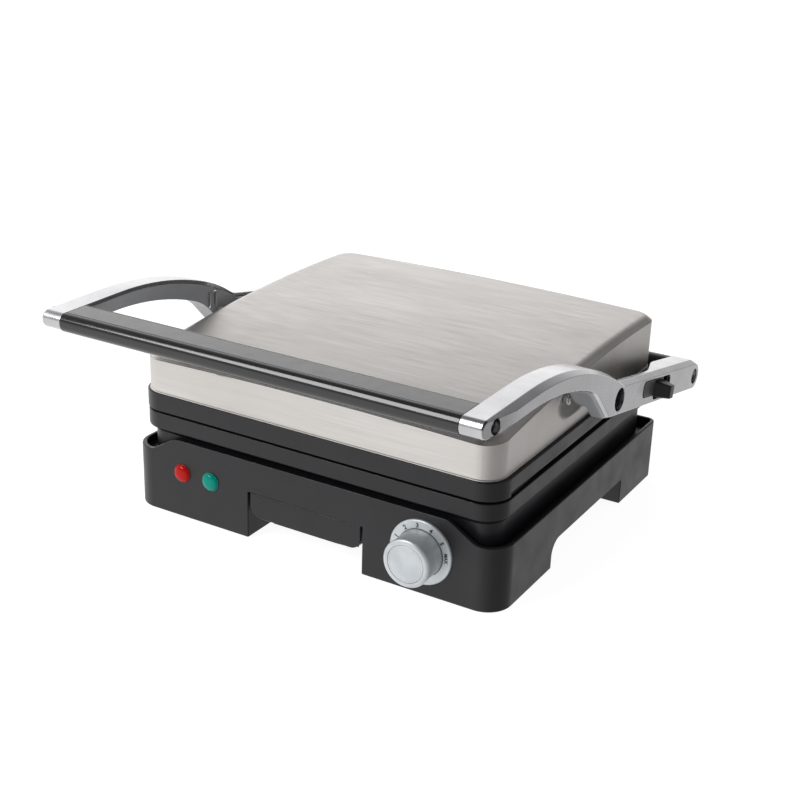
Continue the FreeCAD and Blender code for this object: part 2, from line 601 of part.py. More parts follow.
def thermostat_knob():
    """Flared grip on a thin skirt, hollow behind, with a hub for the spindle."""
    front = -DIAL_T - CLEAR - KNOB_L
    back = -DIAL_T - CLEAR
    profile = [V(0, front, 0), V(KNOB_R - 1.2, front, 0), V(KNOB_R, front + 1.2, 0),
               V(KNOB_R - 0.4, front + 5, 0), V(KNOB_R - 1.6, front + 12, 0), V(KNOB_R - 1.2, back - 2.5, 0),
               V(KNOB_SKIRT_R, back - 1.2, 0), V(KNOB_SKIRT_R, back, 0), V(0, back, 0), V(0, front, 0)]
    half = Part.Face(Part.makePolygon(profile))
    solid = half.revolve(V(0, 0, 0), V(0, 1, 0), 360)
    solid = solid.cut(Part.makeCylinder(KNOB_R - 4.2, KNOB_L - 6, V(0, front + 6, 0), V(0, 1, 0)))
    solid = solid.fuse(Part.makeCylinder(6.0, KNOB_L - 5, V(0, front + 5, 0), V(0, 1, 0)))
    solid = solid.cut(Part.makeCylinder(SPINDLE_R, KNOB_L, V(0, front + 8, 0), V(0, 1, 0)))
    solid = solid.cut(Part.makeCylinder(KNOB_R - 3.4, 0.6, V(0, front - 0.01, 0), V(0, 1, 0)))
    solid.translate(V(KNOB_X, 0, KNOB_Z))
    return solid.removeSplitter()


def knob_cap():
    """Thin disc let into the front of the knob."""
    front = -DIAL_T - CLEAR - KNOB_L
    return rod_y(KNOB_X, KNOB_Z, KNOB_R - 3.4, front + 0.15, front + 0.59)


def knob_spindle():
    front = -DIAL_T - CLEAR - KNOB_L
    return rod_y(KNOB_X, KNOB_Z, SPINDLE_R, front + 8, FASCIA_T + 13)


def lamp_lens(x):
    dome = Part.makeSphere(11.0, V(x, 7.0, LAMP_Z)).common(rod_y(x, LAMP_Z, LAMP_R, -10, 0))
    stem = rod_y(x, LAMP_Z, LAMP_STEM_R, 0, FASCIA_T + 3)
    return dome.fuse(stem).removeSplitter()


def lamp_holders():
    """Neon holders clipped on the stems of the lenses."""
    rings = []
    for x in LAMP_XS:
        cup = rod_y(x, LAMP_Z, LAMP_R + 1, FASCIA_T, FASCIA_T + 14)
        cup = cup.cut(box(x - 20, x + 20, 0, 40, SHELF_Z - SHELF_T, SHELF_Z + 20))
        rings.append(cup.cut(rod_y(x, LAMP_Z, LAMP_STEM_R + SNUG, FASCIA_T - 1, FASCIA_T + 12)))
    return Part.makeCompound(rings)


def terminal_block():
    floor, wall = BELLY_Z + BELLY_T, BASE_D - WALL
    body = box(TERMINAL_X, TERMINAL_X + 36, wall - 16, wall, floor, floor + 15)
    for i in range(3):
        x = TERMINAL_X + 6 + i * 12
        body = body.cut(rod_y(x, floor + 8, 1.8, wall - 17, wall - 6))
        body = body.cut(rod_z(x, wall - 8, 2.2, floor + 10, floor + 16))
    return body


def cord_gland():
    """Inlet bush in the rear wall, with its through bore."""
    stem = rod_y(INLET_X, INLET_Z, INLET_R, BASE_D - WALL, BASE_D)
    flange = rod_y(INLET_X, INLET_Z, INLET_R + 2, BASE_D, BASE_D + 3)
    nut = rod_y(INLET_X, INLET_Z, INLET_R + 0.4, BASE_D - WALL - 5, BASE_D - WALL)
    bore = rod_y(INLET_X, INLET_Z, CORD_BORE_R, BASE_D - 20, BASE_D + 20)
    return stem.fuse([flange, nut]).cut(bore).removeSplitter()


# ---------------------------------------------------------------- drip tray
def drip_tray():
    z0 = TRAY_BOTTOM
    front = prism_y([(-TRAY_HALF, z0, 9), (TRAY_HALF, z0, 9), (TRAY_HALF, TRAY_TOP, 0.8),
                     (-TRAY_HALF, TRAY_TOP, 0.8)], 0.4, 0.4 + WALL)
    half = TRAY_HALF - TRAY_FLANGE - CLEAR
    rear = TRAY_D
    pan = slab(half, 0.4 + WALL - 0.01, rear, z0 + 1, RAIL_Z + CLEAR, 0.5)
    flange = box(-TRAY_HALF, TRAY_HALF, 9, rear, RAIL_Z + CLEAR, RAIL_Z + CLEAR + 2)
    pan = pan.fuse(flange).fuse(box(-half, half, 0.4 + WALL, 9.1, RAIL_Z, RAIL_Z + CLEAR + 2))
    pocket = (half - TRAY_WALL, 0.4 + WALL + TRAY_WALL, rear - TRAY_WALL)
    pan = pan.cut(slab(*pocket, z0 + 1 + TRAY_WALL, TRAY_TOP + 1, 4))
    grip = prism_y([(-28, z0 - 1, 0), (28, z0 - 1, 0), (22, z0 + 4, 2), (-22, z0 + 4, 2)], 1.4, WALL)
    return front.cut(grip).fuse(pan).removeSplitter()


# ---------------------------------------------------------------- upper head
def crowned(half, y0, y1, z0, drop, r):
    """Upright-walled block whose top follows the crown, lowered by drop."""
    block = slab(half, y0, y1, z0, CROWN_Z + 40, r)
    top = CROWN_Z - drop
    arc = Part.Arc(V(-half - 30, CROWN_Y, side_fall(half + 30) + top), V(0, CROWN_Y, top),
                   V(half + 30, CROWN_Y, side_fall(half + 30) + top)).toShape()
    floor = top - 90
    edges = [arc, Part.LineSegment(V(half + 30, CROWN_Y, side_fall(half + 30) + top),
                                   V(half + 30, CROWN_Y, floor)).toShape(),
             Part.LineSegment(V(half + 30, CROWN_Y, floor), V(-half - 30, CROWN_Y, floor)).toShape(),
             Part.LineSegment(V(-half - 30, CROWN_Y, floor),
                              V(-half - 30, CROWN_Y, side_fall(half + 30) + top)).toShape()]
    section = Part.Face(Part.Wire(edges))
    sweep = 2 * math.degrees(math.asin((y1 - y0) / CROWN_R)) + 4
    axis_at = V(0, CROWN_Y, CROWN_Z - CROWN_R)
    section.rotate(axis_at, V(1, 0, 0), sweep / 2)
    dome = section.revolve(axis_at, V(-1, 0, 0), sweep)
    return block.common(dome)


def side_fall(x):
    return -(CROWN_SIDE_R - math.sqrt(CROWN_SIDE_R ** 2 - x ** 2))


def top_edges(shape, above):
    """Edges of the crowned top, found by where they lie and that they are not upright."""
    found = []
    for edge in shape.Edges:
        bounds = edge.BoundBox
        if bounds.ZMin > above and bounds.XLength + bounds.YLength > 1.0:
            found.append(edge)
    return found


def scoop(grow):
    """Spheroid that presses the side of the cover in round a pivot pin; its long axis runs along Y."""
    long_half, short_half = SCOOP_LONG + grow, SCOOP_ROUND + grow
    curve = Part.Ellipse(V(0, 0, 0), long_half, short_half)
    arc = Part.ArcOfEllipse(curve, 0, math.pi).toShape()
    half = Part.Face(Part.Wire([arc, Part.LineSegment(V(-long_half, 0, 0), V(long_half, 0, 0)).toShape()]))
    egg = half.revolve(V(0, 0, 0), V(1, 0, 0), 360)
    egg.rotate(V(0, 0, 0), V(0, 0, 1), 90)
    egg.translate(V(COVER_HALF + SCOOP_ROUND - SCOOP_DEPTH, PIVOT_Y, PIVOT_Z))
    return egg


def cover_body(inset, lift, roll):
    body = crowned(COVER_HALF - inset, COVER_FRONT + inset, COVER_REAR - inset, FRAME_TOP - lift, inset,
                   COVER_R - inset)
    body = body.makeFillet(roll, top_edges(body, FRAME_TOP + 12))
    grown = scoop(inset)
    return body.cut(grown).cut(mirrored(grown))


def steel_cover():
    shell = cover_body(0, 0, ROLL_R).cut(cover_body(COVER_T, 5, ROLL_R - COVER_T))
    return shell.cut(rod_x(PIVOT_Y, PIVOT_Z, PIN_R + SNUG, -COVER_HALF - 20, COVER_HALF + 20))


def upper_plate_housing():
    """Frame that carries the upper plate; the steel cover fits round its upstand."""
    bottom = SEAM_Z + SEAM_GAP
    body = slab(HOUSE_HALF, HOUSE_FRONT - 0.6, HOUSE_REAR + 2, bottom, FRAME_TOP, HOUSE_R)
    inset = COVER_T + CLEAR
    stand = slab(COVER_HALF - inset, COVER_FRONT + inset, COVER_REAR - inset - 4, FRAME_TOP, FRAME_TOP + 6,
                 COVER_R - inset)
    frame = body.fuse(stand)
    room = (COVER_HALF - 6, COVER_FRONT + 6, HOUSE_REAR - 6)
    frame = frame.cut(slab(*room, UPPER_PLATE_Z + LEDGE_T, FRAME_TOP + 7, 12))
    frame = frame.cut(slab(PLATE_HALF + CLEAR, PLATE_Y0 - CLEAR, PLATE_Y1 + CLEAR, bottom - 1, UPPER_PLATE_Z,
                           PLATE_R + CLEAR))
    well = (PLATE_HALF - LEDGE_W, PLATE_Y0 + LEDGE_W, PLATE_Y1 - LEDGE_W)
    frame = frame.cut(slab(*well, bottom - 1, FRAME_TOP, 8))
    for s in (-1, 1):
        x0, x1 = sorted((s * (HOUSE_HALF + 1), s * (PLATE_HALF + 3.5)))
        relief = box(x0, x1, HOUSE_FRONT + HOUSE_R, HOUSE_REAR - 14, bottom - 1, bottom + SIDE_RELIEF)
        frame = frame.cut(relief)
    for x, y in PLATE_SCREW_SPOTS:
        frame = frame.cut(hole(x, y, UPPER_PLATE_Z + LEDGE_T + 1, LEDGE_T + 2, (0, 0, -1)))
    return frame.removeSplitter()


def upper_grill_plate():
    plate = grill_plate(UPPER_PLATE_Z, -1)
    for x, y in PLATE_SCREW_SPOTS:
        plate = plate.cut(hole(x, y, UPPER_PLATE_Z, PLATE_SCREW_L - LEDGE_T, (0, 0, -1)))
    return plate


def upper_plate_screws():
    """Screws that hold the upper plate to the web of its housing."""
    return Part.makeCompound([screw(x, y, UPPER_PLATE_Z + LEDGE_T, PLATE_SCREW_L, (0, 0, -1))
                              for x, y in PLATE_SCREW_SPOTS])


def pivot_bracket():
    """Angle bracket inside the cover: a cheek for the pin and a foot on the housing."""
    cheek_x = PIN_INNER
    cheek = box(cheek_x - 3, cheek_x, PIVOT_Y - 16, PIVOT_Y + 16, UPPER_PLATE_Z + LEDGE_T, PIVOT_Z + 9)
    foot = box(cheek_x - 8.5, cheek_x, PIVOT_Y - 16, PIVOT_Y + 16, UPPER_PLATE_Z + LEDGE_T,
               UPPER_PLATE_Z + LEDGE_T + 3)
    hole_shape = rod_x(PIVOT_Y, PIVOT_Z, PIN_R, cheek_x - 10, cheek_x + 5)
    return cheek.fuse(foot).cut(hole_shape).removeSplitter()


def pivot_pin():
    """Headed pin with a collar; it runs from the bracket out into the bush of the arm."""
    pin = rod_x(PIVOT_Y, PIVOT_Z, PIN_R, PIN_INNER - 5, ARM_OUT - ARM_WALL - 1)
    head = rod_x(PIVOT_Y, PIVOT_Z, PIN_COLLAR_R, PIN_INNER - 6.5, PIN_INNER - 3)
    sag = SCOOP_ROUND - math.sqrt(SCOOP_ROUND ** 2 - PIN_COLLAR_R ** 2)
    seat = COVER_HALF - SCOOP_DEPTH + sag + CLEAR
    collar = rod_x(PIVOT_Y, PIVOT_Z, PIN_COLLAR_R, seat, seat + 4)
    return pin.fuse([head, collar]).removeSplitter()


def insulation():
    """Mineral wool mat over the upper reflector."""
    return slab(PLATE_HALF - 16, PLATE_Y0 + 16, PLATE_Y1 - 12, UPPER_PLATE_Z + REFLECTOR_LEVEL,
                UPPER_PLATE_Z + REFLECTOR_LEVEL + 9, 10)


# ---------------------------------------------------------------- arms and handle
def arm_corners(grow=0.0):
    """Side view of an arm in (y, z): handle end, arch, notch, sloping bar, round hinge end, heel.

    The outline is moved out by grow on every side.
    """
    fall = math.radians(ARM_SLOPE)
    arch = math.radians(ARM_ARCH_END)
    along = V(math.cos(fall), -math.sin(fall), 0)
    across = V(math.sin(fall), math.cos(fall), 0)
    centre = V(HINGE_Y, HINGE_Z, 0)
    r = HINGE_BOSS_R + grow
    top_rear = centre + along * r + across * r
    low_rear = centre + along * r - across * r
    top = ARM_TOP + grow
    # the arch leaves the level top at ARCH_START and falls away on a radius
    radius = ARM_TOP_R + grow
    crest = ARCH_START + ARM_TOP_R * math.tan(arch / 2)
    crest += (grow * math.tan(arch / 2))
    down = V(math.cos(arch), -math.sin(arch), 0)
    notch = meet(V(crest, top, 0), down, top_rear, along)
    under = ARM_UNDER - grow
    bend1, bend2 = math.radians(21.0), math.radians(46.0)
    under_r = ARM_UNDER_R - grow
    first = UNDER_START + under_r * math.tan(bend1 / 2)
    d1 = V(math.cos(bend1), -math.sin(bend1), 0)
    d2 = V(math.cos(bend2), -math.sin(bend2), 0)
    turn_r = 60.0 - grow
    run = under_r * math.tan(bend1 / 2) + turn_r * math.tan((bend2 - bend1) / 2)
    second = V(first, under, 0) + d1 * (run + 0.5)
    heel = meet(second, d2, low_rear, along)
    front = HANDLE_FRONT - grow
    return [(front, top, HANDLE_R + grow), (crest, top, radius), (notch.x, notch.y, 8 + grow),
            (top_rear.x, top_rear.y, r - 0.01), (low_rear.x, low_rear.y, r - 0.01),
            (heel.x, heel.y, 9 + grow), (second.x, second.y, turn_r), (first, under, under_r),
            (front, under, HANDLE_R + grow)]


def meet(p, d, q, e):
    """Where the line through p along d meets the line through q along e."""
    det = d.x * (-e.y) + e.x * d.y
    t = ((q.x - p.x) * (-e.y) + e.x * (q.y - p.y)) / det
    return p + d * t


def arm_blank():
    """Whole right arm before it is split into its casting and its inner cover."""
    flat = prism_x(arm_corners(), ARM_IN, ARM_OUT - ARM_BEVEL_W)
    wide = outline(arm_corners(), lambda y, z: V(ARM_OUT - ARM_BEVEL_W, y, z))
    narrow = outline(arm_corners(-ARM_BEVEL_H), lambda y, z: V(ARM_OUT, y, z))
    return flat.fuse(Part.makeLoft([wide, narrow], True, True))


def arm_plan(knuckle):
    """Top view of the right arm, as a tall block to intersect with."""
    front_y, rear_y = HANDLE_FRONT - 5, HINGE_Y + HINGE_BOSS_R + 5
    wide = ARM_OUT + 4
    taper = 5.0 / 37.0
    full = HANDLE_FRONT + 37.0
    start = full + (wide - ARM_OUT) / taper
    nose = ARM_OUT + (front_y - full) * taper
    at = PIVOT_Y
    slim = [(ARM_IN, front_y, 0), (ARM_IN, at - 30, 70), (BAR_IN, at + 19, 60)]
    if knuckle:
        slim = [(ARM_IN, front_y, 0), (ARM_IN, at - 19, 1), (KNUCKLE_IN, at - 15, 1),
                (KNUCKLE_IN, at + 33, 4), (BAR_IN, at + 41, 4)]
    rest = [(BAR_IN, HINGE_Y - 90, 40), (ARM_IN, HINGE_Y - 50, 30), (ARM_IN, rear_y, 0), (wide, rear_y, 0),
            (wide, start, 0), (nose, front_y, 0)]
    return prism_z(slim + rest, HINGE_Z - 30, ARM_TOP + 20)


def arm_cavity(gap=0.0):
    """Space inside the casting, open below and towards the head, less a gap all round."""
    inner = prism_x(arm_corners(-ARM_WALL - gap), ARM_IN - 5, ARM_OUT - ARM_WALL)
    steps = [inner]
    for drop in (4.0, 8.0, 12.0):
        lower = inner.copy()
        lower.translate(V(0, 0, -drop))
        steps.append(lower)
    space = steps[0].fuse(steps[1:])
    return space.common(box(ARM_IN - 5, ARM_OUT, CAVITY_FRONT, CAVITY_REAR, 0, ARM_TOP))


def along_bar(shape):
    """Turns a shape made level, with the hinge axis as its zero, to follow the slope of the bar."""
    placed = shape.copy()
    placed.rotate(V(0, 0, 0), V(1, 0, 0), -ARM_SLOPE)
    placed.translate(V(0, HINGE_Y, HINGE_Z))
    return placed


def bar_corners(y0, y1, low, high, r):
    """Rounded rectangle along the bar, in (along, up) from the hinge axis."""
    return [(y0 - HINGE_Y, low, r), (y1 - HINGE_Y, low, r), (y1 - HINGE_Y, high, r), (y0 - HINGE_Y, high, r)]


def slot_shape(gap, rear_y, x0, x1):
    """Slot of the lever with its lower front stretch, less a gap all round; also the lever's own foot."""
    high = SLOT_H / 2 - gap
    wide = bar_corners(SLOT_NECK_Y + gap, rear_y - gap, -high, high, SLOT_R - gap)
    neck_end = SLOT_NECK_Y + 2 * SLOT_R
    neck = bar_corners(SLOT_Y0 + gap, neck_end, SLOT_H / 2 - SLOT_NECK_H + gap, high, SLOT_R - gap)
    return along_bar(prism_x(wide, x0, x1).fuse(prism_x(neck, x0, x1)))


def arm_casting():
    arm = arm_blank().common(arm_plan(False))
    arm = arm.cut(arm_cavity())
    arm = arm.cut(rod_x(KNUCKLE_HOLE_Y, KNUCKLE_HOLE_Z, KNUCKLE_HOLE_R, ARM_OUT - 8, ARM_OUT + 5))
    arm = arm.cut(rod_x(HINGE_Y, HINGE_Z, BUSH_R, ARM_IN - 1, ARM_OUT - 4))
    arm = arm.cut(rod_x(HINGE_Y, HINGE_Z, CAP_R, ARM_OUT - 5, ARM_OUT + 5))
    arm = arm.cut(rod_x(CORE_Y, HANDLE_MID_Z, CORE_R, ARM_IN - 1, CORE_END))
    arm = arm.cut(rod_x(CORE_Y, HANDLE_MID_Z, SCREW_HEAD_R + 1.4, CORE_END + 3, ARM_OUT + 5))
    arm = arm.cut(hole(CORE_END + 3, CORE_Y, HANDLE_MID_Z, 12, (-1, 0, 0)))
    return arm.removeSplitter()


def right_arm_casting():
    slot = slot_shape(0, SLOT_Y1, ARM_OUT - ARM_WALL - 2, ARM_OUT + 5)
    return arm_casting().cut(slot).removeSplitter()


def arm_liner(with_lever):
    """Dark inner cover of the right arm: a channel that closes the casting from the inside."""
    solid = arm_blank().common(arm_plan(True)).common(arm_cavity(SNUG))
    solid = solid.common(box(ARM_IN, ARM_OUT - ARM_WALL, CAVITY_FRONT, CAVITY_REAR, 0, ARM_TOP))
    hollow = prism_x(arm_corners(-ARM_WALL - 2.6), ARM_IN, ARM_OUT)
    hollow = hollow.common(arm_plan(True))
    hollow.translate(V(2.6, 0, 0))
    hollow = hollow.common(box(ARM_IN, ARM_OUT - ARM_WALL, CAVITY_FRONT + 3, CAVITY_REAR - 3, 0, ARM_TOP))
    bush_boss = rod_x(PIVOT_Y, PIVOT_Z, BUSH_R + 1.5, ARM_IN, ARM_OUT)
    hollow = hollow.cut(bush_boss)
    liner = solid.cut(hollow)
    liner = liner.cut(rod_x(PIVOT_Y, PIVOT_Z, PIVOT_BUSH_R + SNUG, ARM_IN - 1, ARM_OUT))
    liner = liner.cut(hole(KNUCKLE_IN - 1, KNUCKLE_HOLE_Y, KNUCKLE_HOLE_Z, 20, (1, 0, 0)))
    if with_lever:
        room = bar_corners(SLOT_Y0 - 1, SLOT_Y1 + 1, -SLOT_H / 2 - 0.5, SLOT_H / 2 + 0.5, SLOT_R)
        liner = liner.cut(along_bar(prism_x(room, BAR_IN + 2.6, ARM_OUT)))
    return liner.removeSplitter()


def pivot_bush():
    tube = rod_x(PIVOT_Y, PIVOT_Z, PIVOT_BUSH_R, KNUCKLE_IN, ARM_OUT - ARM_WALL)
    return tube.cut(rod_x(PIVOT_Y, PIVOT_Z, PIN_R + FIT, KNUCKLE_IN - 1, ARM_OUT))


def knuckle_screw():
    return screw(KNUCKLE_IN + 2.6, KNUCKLE_HOLE_Y, KNUCKLE_HOLE_Z, 2.6, (-1, 0, 0))


def hinge_bush():
    tube = rod_x(HINGE_Y, HINGE_Z, BUSH_R, ARM_IN, ARM_OUT - 4)
    tube = tube.cut(rod_x(HINGE_Y, HINGE_Z, SHAFT_R + FIT, ARM_IN - 1, ARM_OUT - 5))
    return tube.cut(rod_x(HINGE_Y, HINGE_Z, CAP_R, ARM_OUT - 5, ARM_OUT))


def hinge_cap():
    """Plug in the outer end of the hinge bore."""
    cap = rod_x(HINGE_Y, HINGE_Z, CAP_R, ARM_OUT - 5, ARM_OUT - 2.5)
    return cap.cut(rod_x(HINGE_Y, HINGE_Z, CAP_R / 2, ARM_OUT - 3.3, ARM_OUT))


def handle_corners(grow=0.0):
    top, under = ARM_TOP + grow, ARM_UNDER - 0.8 - grow
    return [(HANDLE_FRONT - grow, top, HANDLE_R + grow), (HANDLE_REAR + grow, top, 1.2),
            (HANDLE_REAR + grow, under, 4.0), (HANDLE_FRONT - grow, under, HANDLE_R + grow)]


def handle_grip():
    """Moulded bar between the arms, with a recess along its top for the insert."""
    bar = prism_x(handle_corners(), -ARM_IN, ARM_IN)
    recess = box(-ARM_IN - 1, ARM_IN + 1, INSERT_FRONT, INSERT_REAR, ARM_TOP - INSERT_T, ARM_TOP + 1)
    bar = bar.cut(recess)
    return bar.cut(rod_x(CORE_Y, HANDLE_MID_Z, CORE_R, -ARM_IN - 1, ARM_IN + 1)).removeSplitter()


def handle_insert():
    """Gloss strip let into the top of the grip, with a fine joint line in front of it."""
    return box(-ARM_IN, ARM_IN, INSERT_FRONT + 0.7, INSERT_REAR - 0.2, ARM_TOP - INSERT_T, ARM_TOP - 0.05)


def handle_core():
    rod = rod_x(CORE_Y, HANDLE_MID_Z, CORE_R, -CORE_END, CORE_END)
    for s in (-1, 1):
        rod = rod.cut(hole(s * CORE_END, CORE_Y, HANDLE_MID_Z, 9, (-s, 0, 0)))
    return rod


def handle_screws():
    return both(screw(CORE_END + 3, CORE_Y, HANDLE_MID_Z, 11, (-1, 0, 0)))


def release_lever():
    """Slide in the slot of the right arm: a sunk foot, a raised tongue in the neck and a tapered tab."""
    rear_y = SLOT_Y1 - LEVER_TRAVEL
    face = ARM_OUT - LEVER_SUNK
    foot = slot_shape(CLEAR, rear_y, BAR_IN + 3.2, face)
    high = SLOT_H / 2 - CLEAR
    low = SLOT_H / 2 - SLOT_NECK_H + CLEAR
    tongue = bar_corners(SLOT_Y0 + CLEAR, SLOT_NECK_Y - CLEAR, low, high, SLOT_R - CLEAR)
    tongue = along_bar(prism_x(tongue, face - 1, ARM_OUT + CLEAR))
    tab_y = rear_y - 5.0 - TAB_L / 2
    root = bar_corners(tab_y - TAB_L / 2, tab_y + TAB_L / 2, 0.8 - high, high - 2.0, 1.5)
    tip_y = tab_y + 2.5
    tip_low = 1.0 - high
    tip = bar_corners(tip_y - TAB_TIP_L / 2, tip_y + TAB_TIP_L / 2, tip_low, tip_low + TAB_TIP_H, 1.0)
    wires = [outline(root, lambda y, z: V(face - 0.5, y, z)),
             outline(tip, lambda y, z: V(ARM_OUT + TAB_PROUD, y, z))]
    tab = along_bar(Part.makeLoft(wires, True, True))
    return foot.fuse([tongue, tab]).removeSplitter()


# ---------------------------------------------------------------- hinge
def hinge_section(grow):
    """Side view of the hinge cover's web, from the rear wall of the base up to the barrel."""
    r = BARREL_R + grow
    low, high = BELLY_Z + 5 - grow, SEAM_Z - 8 + grow
    return [(BASE_D, low, 0), (BASE_D, high, 0), (HINGE_Y - r * 0.94, HINGE_Z + grow, 0),
            (HINGE_Y + r * 0.98, HINGE_Z + grow, 0), (BASE_D + 10 + grow, low, 0)]


def hinge_cover():
    """Hollow moulding: a barrel across the rear and a web screwed to the base."""
    end = ARM_IN - BARREL_END
    barrel = rod_x(HINGE_Y, HINGE_Z, BARREL_R, -end, end)
    web = prism_x(hinge_section(0), -WEB_HALF, WEB_HALF)
    bore = rod_x(HINGE_Y, HINGE_Z, BARREL_R - HINGE_COVER_T, -end + 3, end - 3)
    inner = prism_x(hinge_section(-HINGE_COVER_T), -WEB_HALF + HINGE_COVER_T, WEB_HALF - HINGE_COVER_T)
    cover = barrel.fuse(web).cut(bore).cut(inner)
    return cover.cut(rod_x(HINGE_Y, HINGE_Z, SHAFT_R, -end - 1, end + 1)).removeSplitter()


def hinge_shaft():
    return rod_x(HINGE_Y, HINGE_Z, SHAFT_R, -(ARM_OUT - 5.3), ARM_OUT - 5.3)


def hinge_bracket():
    """Steel cheek inside the hinge cover that holds the shaft to the base."""
    x1 = WEB_HALF - 18
    x0 = x1 - 4
    grow = -HINGE_COVER_T - CLEAR
    plate = prism_x(hinge_section(grow), x0, x1).fuse(rod_x(HINGE_Y, HINGE_Z, BARREL_R + grow, x0, x1))
    foot = box(x0 - 14, x1, BASE_D, BASE_D + 3, BELLY_Z + 5 - grow, SEAM_Z - 16)
    plate = plate.fuse(foot).cut(rod_x(HINGE_Y, HINGE_Z, SHAFT_R, x0 - 1, x1 + 1))
    return plate.removeSplitter()


# ---------------------------------------------------------------- all nodes
def main():
    save("base_housing", base_housing())
    save("tray_channel", tray_channel())
    save("bottom_cover", bottom_cover())
    save("bottom_screws", bottom_screws())
    save("rubber_feet", rubber_feet())
    save("lower_plate_housing", lower_plate_housing())
    save("lower_grill_plate", lower_grill_plate())
    save("lower_heating_element", element(LOWER_PLATE_Z - ELEMENT_LEVEL))
    save("lower_element_clamps", element_clips(LOWER_PLATE_Z - ELEMENT_LEVEL, 1))
    save("lower_reflector", reflector(LOWER_PLATE_Z - REFLECTOR_LEVEL, 1))
    save("drain_chute", drain_chute())
    save("thermostat", thermostat())
    save("dial_ring", dial_ring())
    save("thermostat_knob", thermostat_knob())
    save("knob_cap", knob_cap())
    save("knob_spindle", knob_spindle())
    save("red_lamp_lens", lamp_lens(LAMP_XS[0]))
    save("green_lamp_lens", lamp_lens(LAMP_XS[1]))
    save("lamp_holders", lamp_holders())
    save("terminal_block", terminal_block())
    save("cord_gland", cord_gland())
    save("drip_tray", drip_tray())
    save("steel_cover", steel_cover())
    save("upper_plate_housing", upper_plate_housing())
    save("upper_grill_plate", upper_grill_plate())
    save("upper_heating_element", element(UPPER_PLATE_Z + ELEMENT_LEVEL))
    save("upper_element_clamps", element_clips(UPPER_PLATE_Z + ELEMENT_LEVEL, -1))
    save("upper_reflector", reflector(UPPER_PLATE_Z + REFLECTOR_LEVEL, -1))
    save("upper_insulation", insulation())
    save("upper_plate_screws", upper_plate_screws())
    save("pivot_brackets", both(pivot_bracket()))
    save("pivot_pins", both(pivot_pin()))
    save("pivot_bushes", both(pivot_bush()))
    save("right_arm_casting", right_arm_casting())
    save("left_arm_casting", mirrored(arm_casting()))
    save("right_arm_liner", arm_liner(True))
    save("left_arm_liner", mirrored(arm_liner(False)))
    save("knuckle_screws", both(knuckle_screw()))
    save("handle_grip", handle_grip())
    save("handle_insert", handle_insert())
    save("handle_core", handle_core())
    save("handle_screws", handle_screws())
    save("release_lever", release_lever())
    save("hinge_bushes", both(hinge_bush()))
    save("hinge_caps", both(hinge_cap()))
    save("hinge_cover", hinge_cover())
    save("hinge_shaft", hinge_shaft())
    save("hinge_brackets", both(hinge_bracket()))


main()
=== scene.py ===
"""Panini press: the looks of every piece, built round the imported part."""

import json
import logging
import math
from dataclasses import dataclass
from enum import Enum
from typing import Iterable, Optional, Sequence

import bmesh
import bpy
from mathutils import Matrix, Vector
from mathutils.bvhtree import BVHTree


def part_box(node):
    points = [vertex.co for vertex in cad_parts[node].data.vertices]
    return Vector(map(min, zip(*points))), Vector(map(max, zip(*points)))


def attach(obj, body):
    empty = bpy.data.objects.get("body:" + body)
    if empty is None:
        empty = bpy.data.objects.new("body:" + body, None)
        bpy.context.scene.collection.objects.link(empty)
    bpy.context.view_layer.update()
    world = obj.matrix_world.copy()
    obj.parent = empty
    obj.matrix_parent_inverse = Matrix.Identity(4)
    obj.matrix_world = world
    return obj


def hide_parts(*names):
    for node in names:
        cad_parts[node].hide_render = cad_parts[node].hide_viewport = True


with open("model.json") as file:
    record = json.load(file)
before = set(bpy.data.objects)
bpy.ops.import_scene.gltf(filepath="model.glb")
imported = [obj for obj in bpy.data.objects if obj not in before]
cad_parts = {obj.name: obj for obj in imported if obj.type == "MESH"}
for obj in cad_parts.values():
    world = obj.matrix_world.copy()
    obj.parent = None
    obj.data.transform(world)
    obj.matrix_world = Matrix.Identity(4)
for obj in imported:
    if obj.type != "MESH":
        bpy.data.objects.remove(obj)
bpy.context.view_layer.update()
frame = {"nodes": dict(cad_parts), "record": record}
LOG = logging.getLogger("panini_press")
MM = 0.001
NODES: dict[str, bpy.types.Object] = frame["nodes"]
BODY_OF: dict[str, str] = {node: body for body, nodes in frame["record"]["behaviour"]["bodies"].items()
                           for node in nodes}
COVER_LOW, COVER_HIGH = (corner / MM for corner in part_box("steel_cover"))
MIDDLE_X = (COVER_LOW.x + COVER_HIGH.x) / 2          # plane between the arms, in millimetres


# ------------------------------------------------------------------ colour and node helpers
def linear(code: str) -> tuple[float, float, float, float]:
    """Turns an sRGB hex colour into the linear colour that a shader takes.

    Args:
        code: six hex digits after a hash.

    Returns:
        Linear red, green, blue and an alpha of one.
    """
    channels = [int(code[i:i + 2], 16) / 255 for i in (1, 3, 5)]
    red, green, blue = [c / 12.92 if c <= 0.04045 else ((c + 0.055) / 1.055) ** 2.4 for c in channels]
    return red, green, blue, 1.0


def add_node(tree: bpy.types.NodeTree, kind: str, settings: Optional[dict] = None,
             inputs: Optional[dict] = None) -> bpy.types.Node:
    """Adds a node with its settings and links.

    Args:
        tree: the node tree it goes in.
        kind: the node's type name.
        settings: attributes to set on the node.
        inputs: values or sockets by input name or index; a socket is linked.

    Returns:
        The new node.
    """
    node = tree.nodes.new(kind)
    for key, value in (settings or {}).items():
        setattr(node, key, value)
    for key, value in (inputs or {}).items():
        if isinstance(value, bpy.types.NodeSocket):
            tree.links.new(value, node.inputs[key])
        else:
            node.inputs[key].default_value = value
    return node


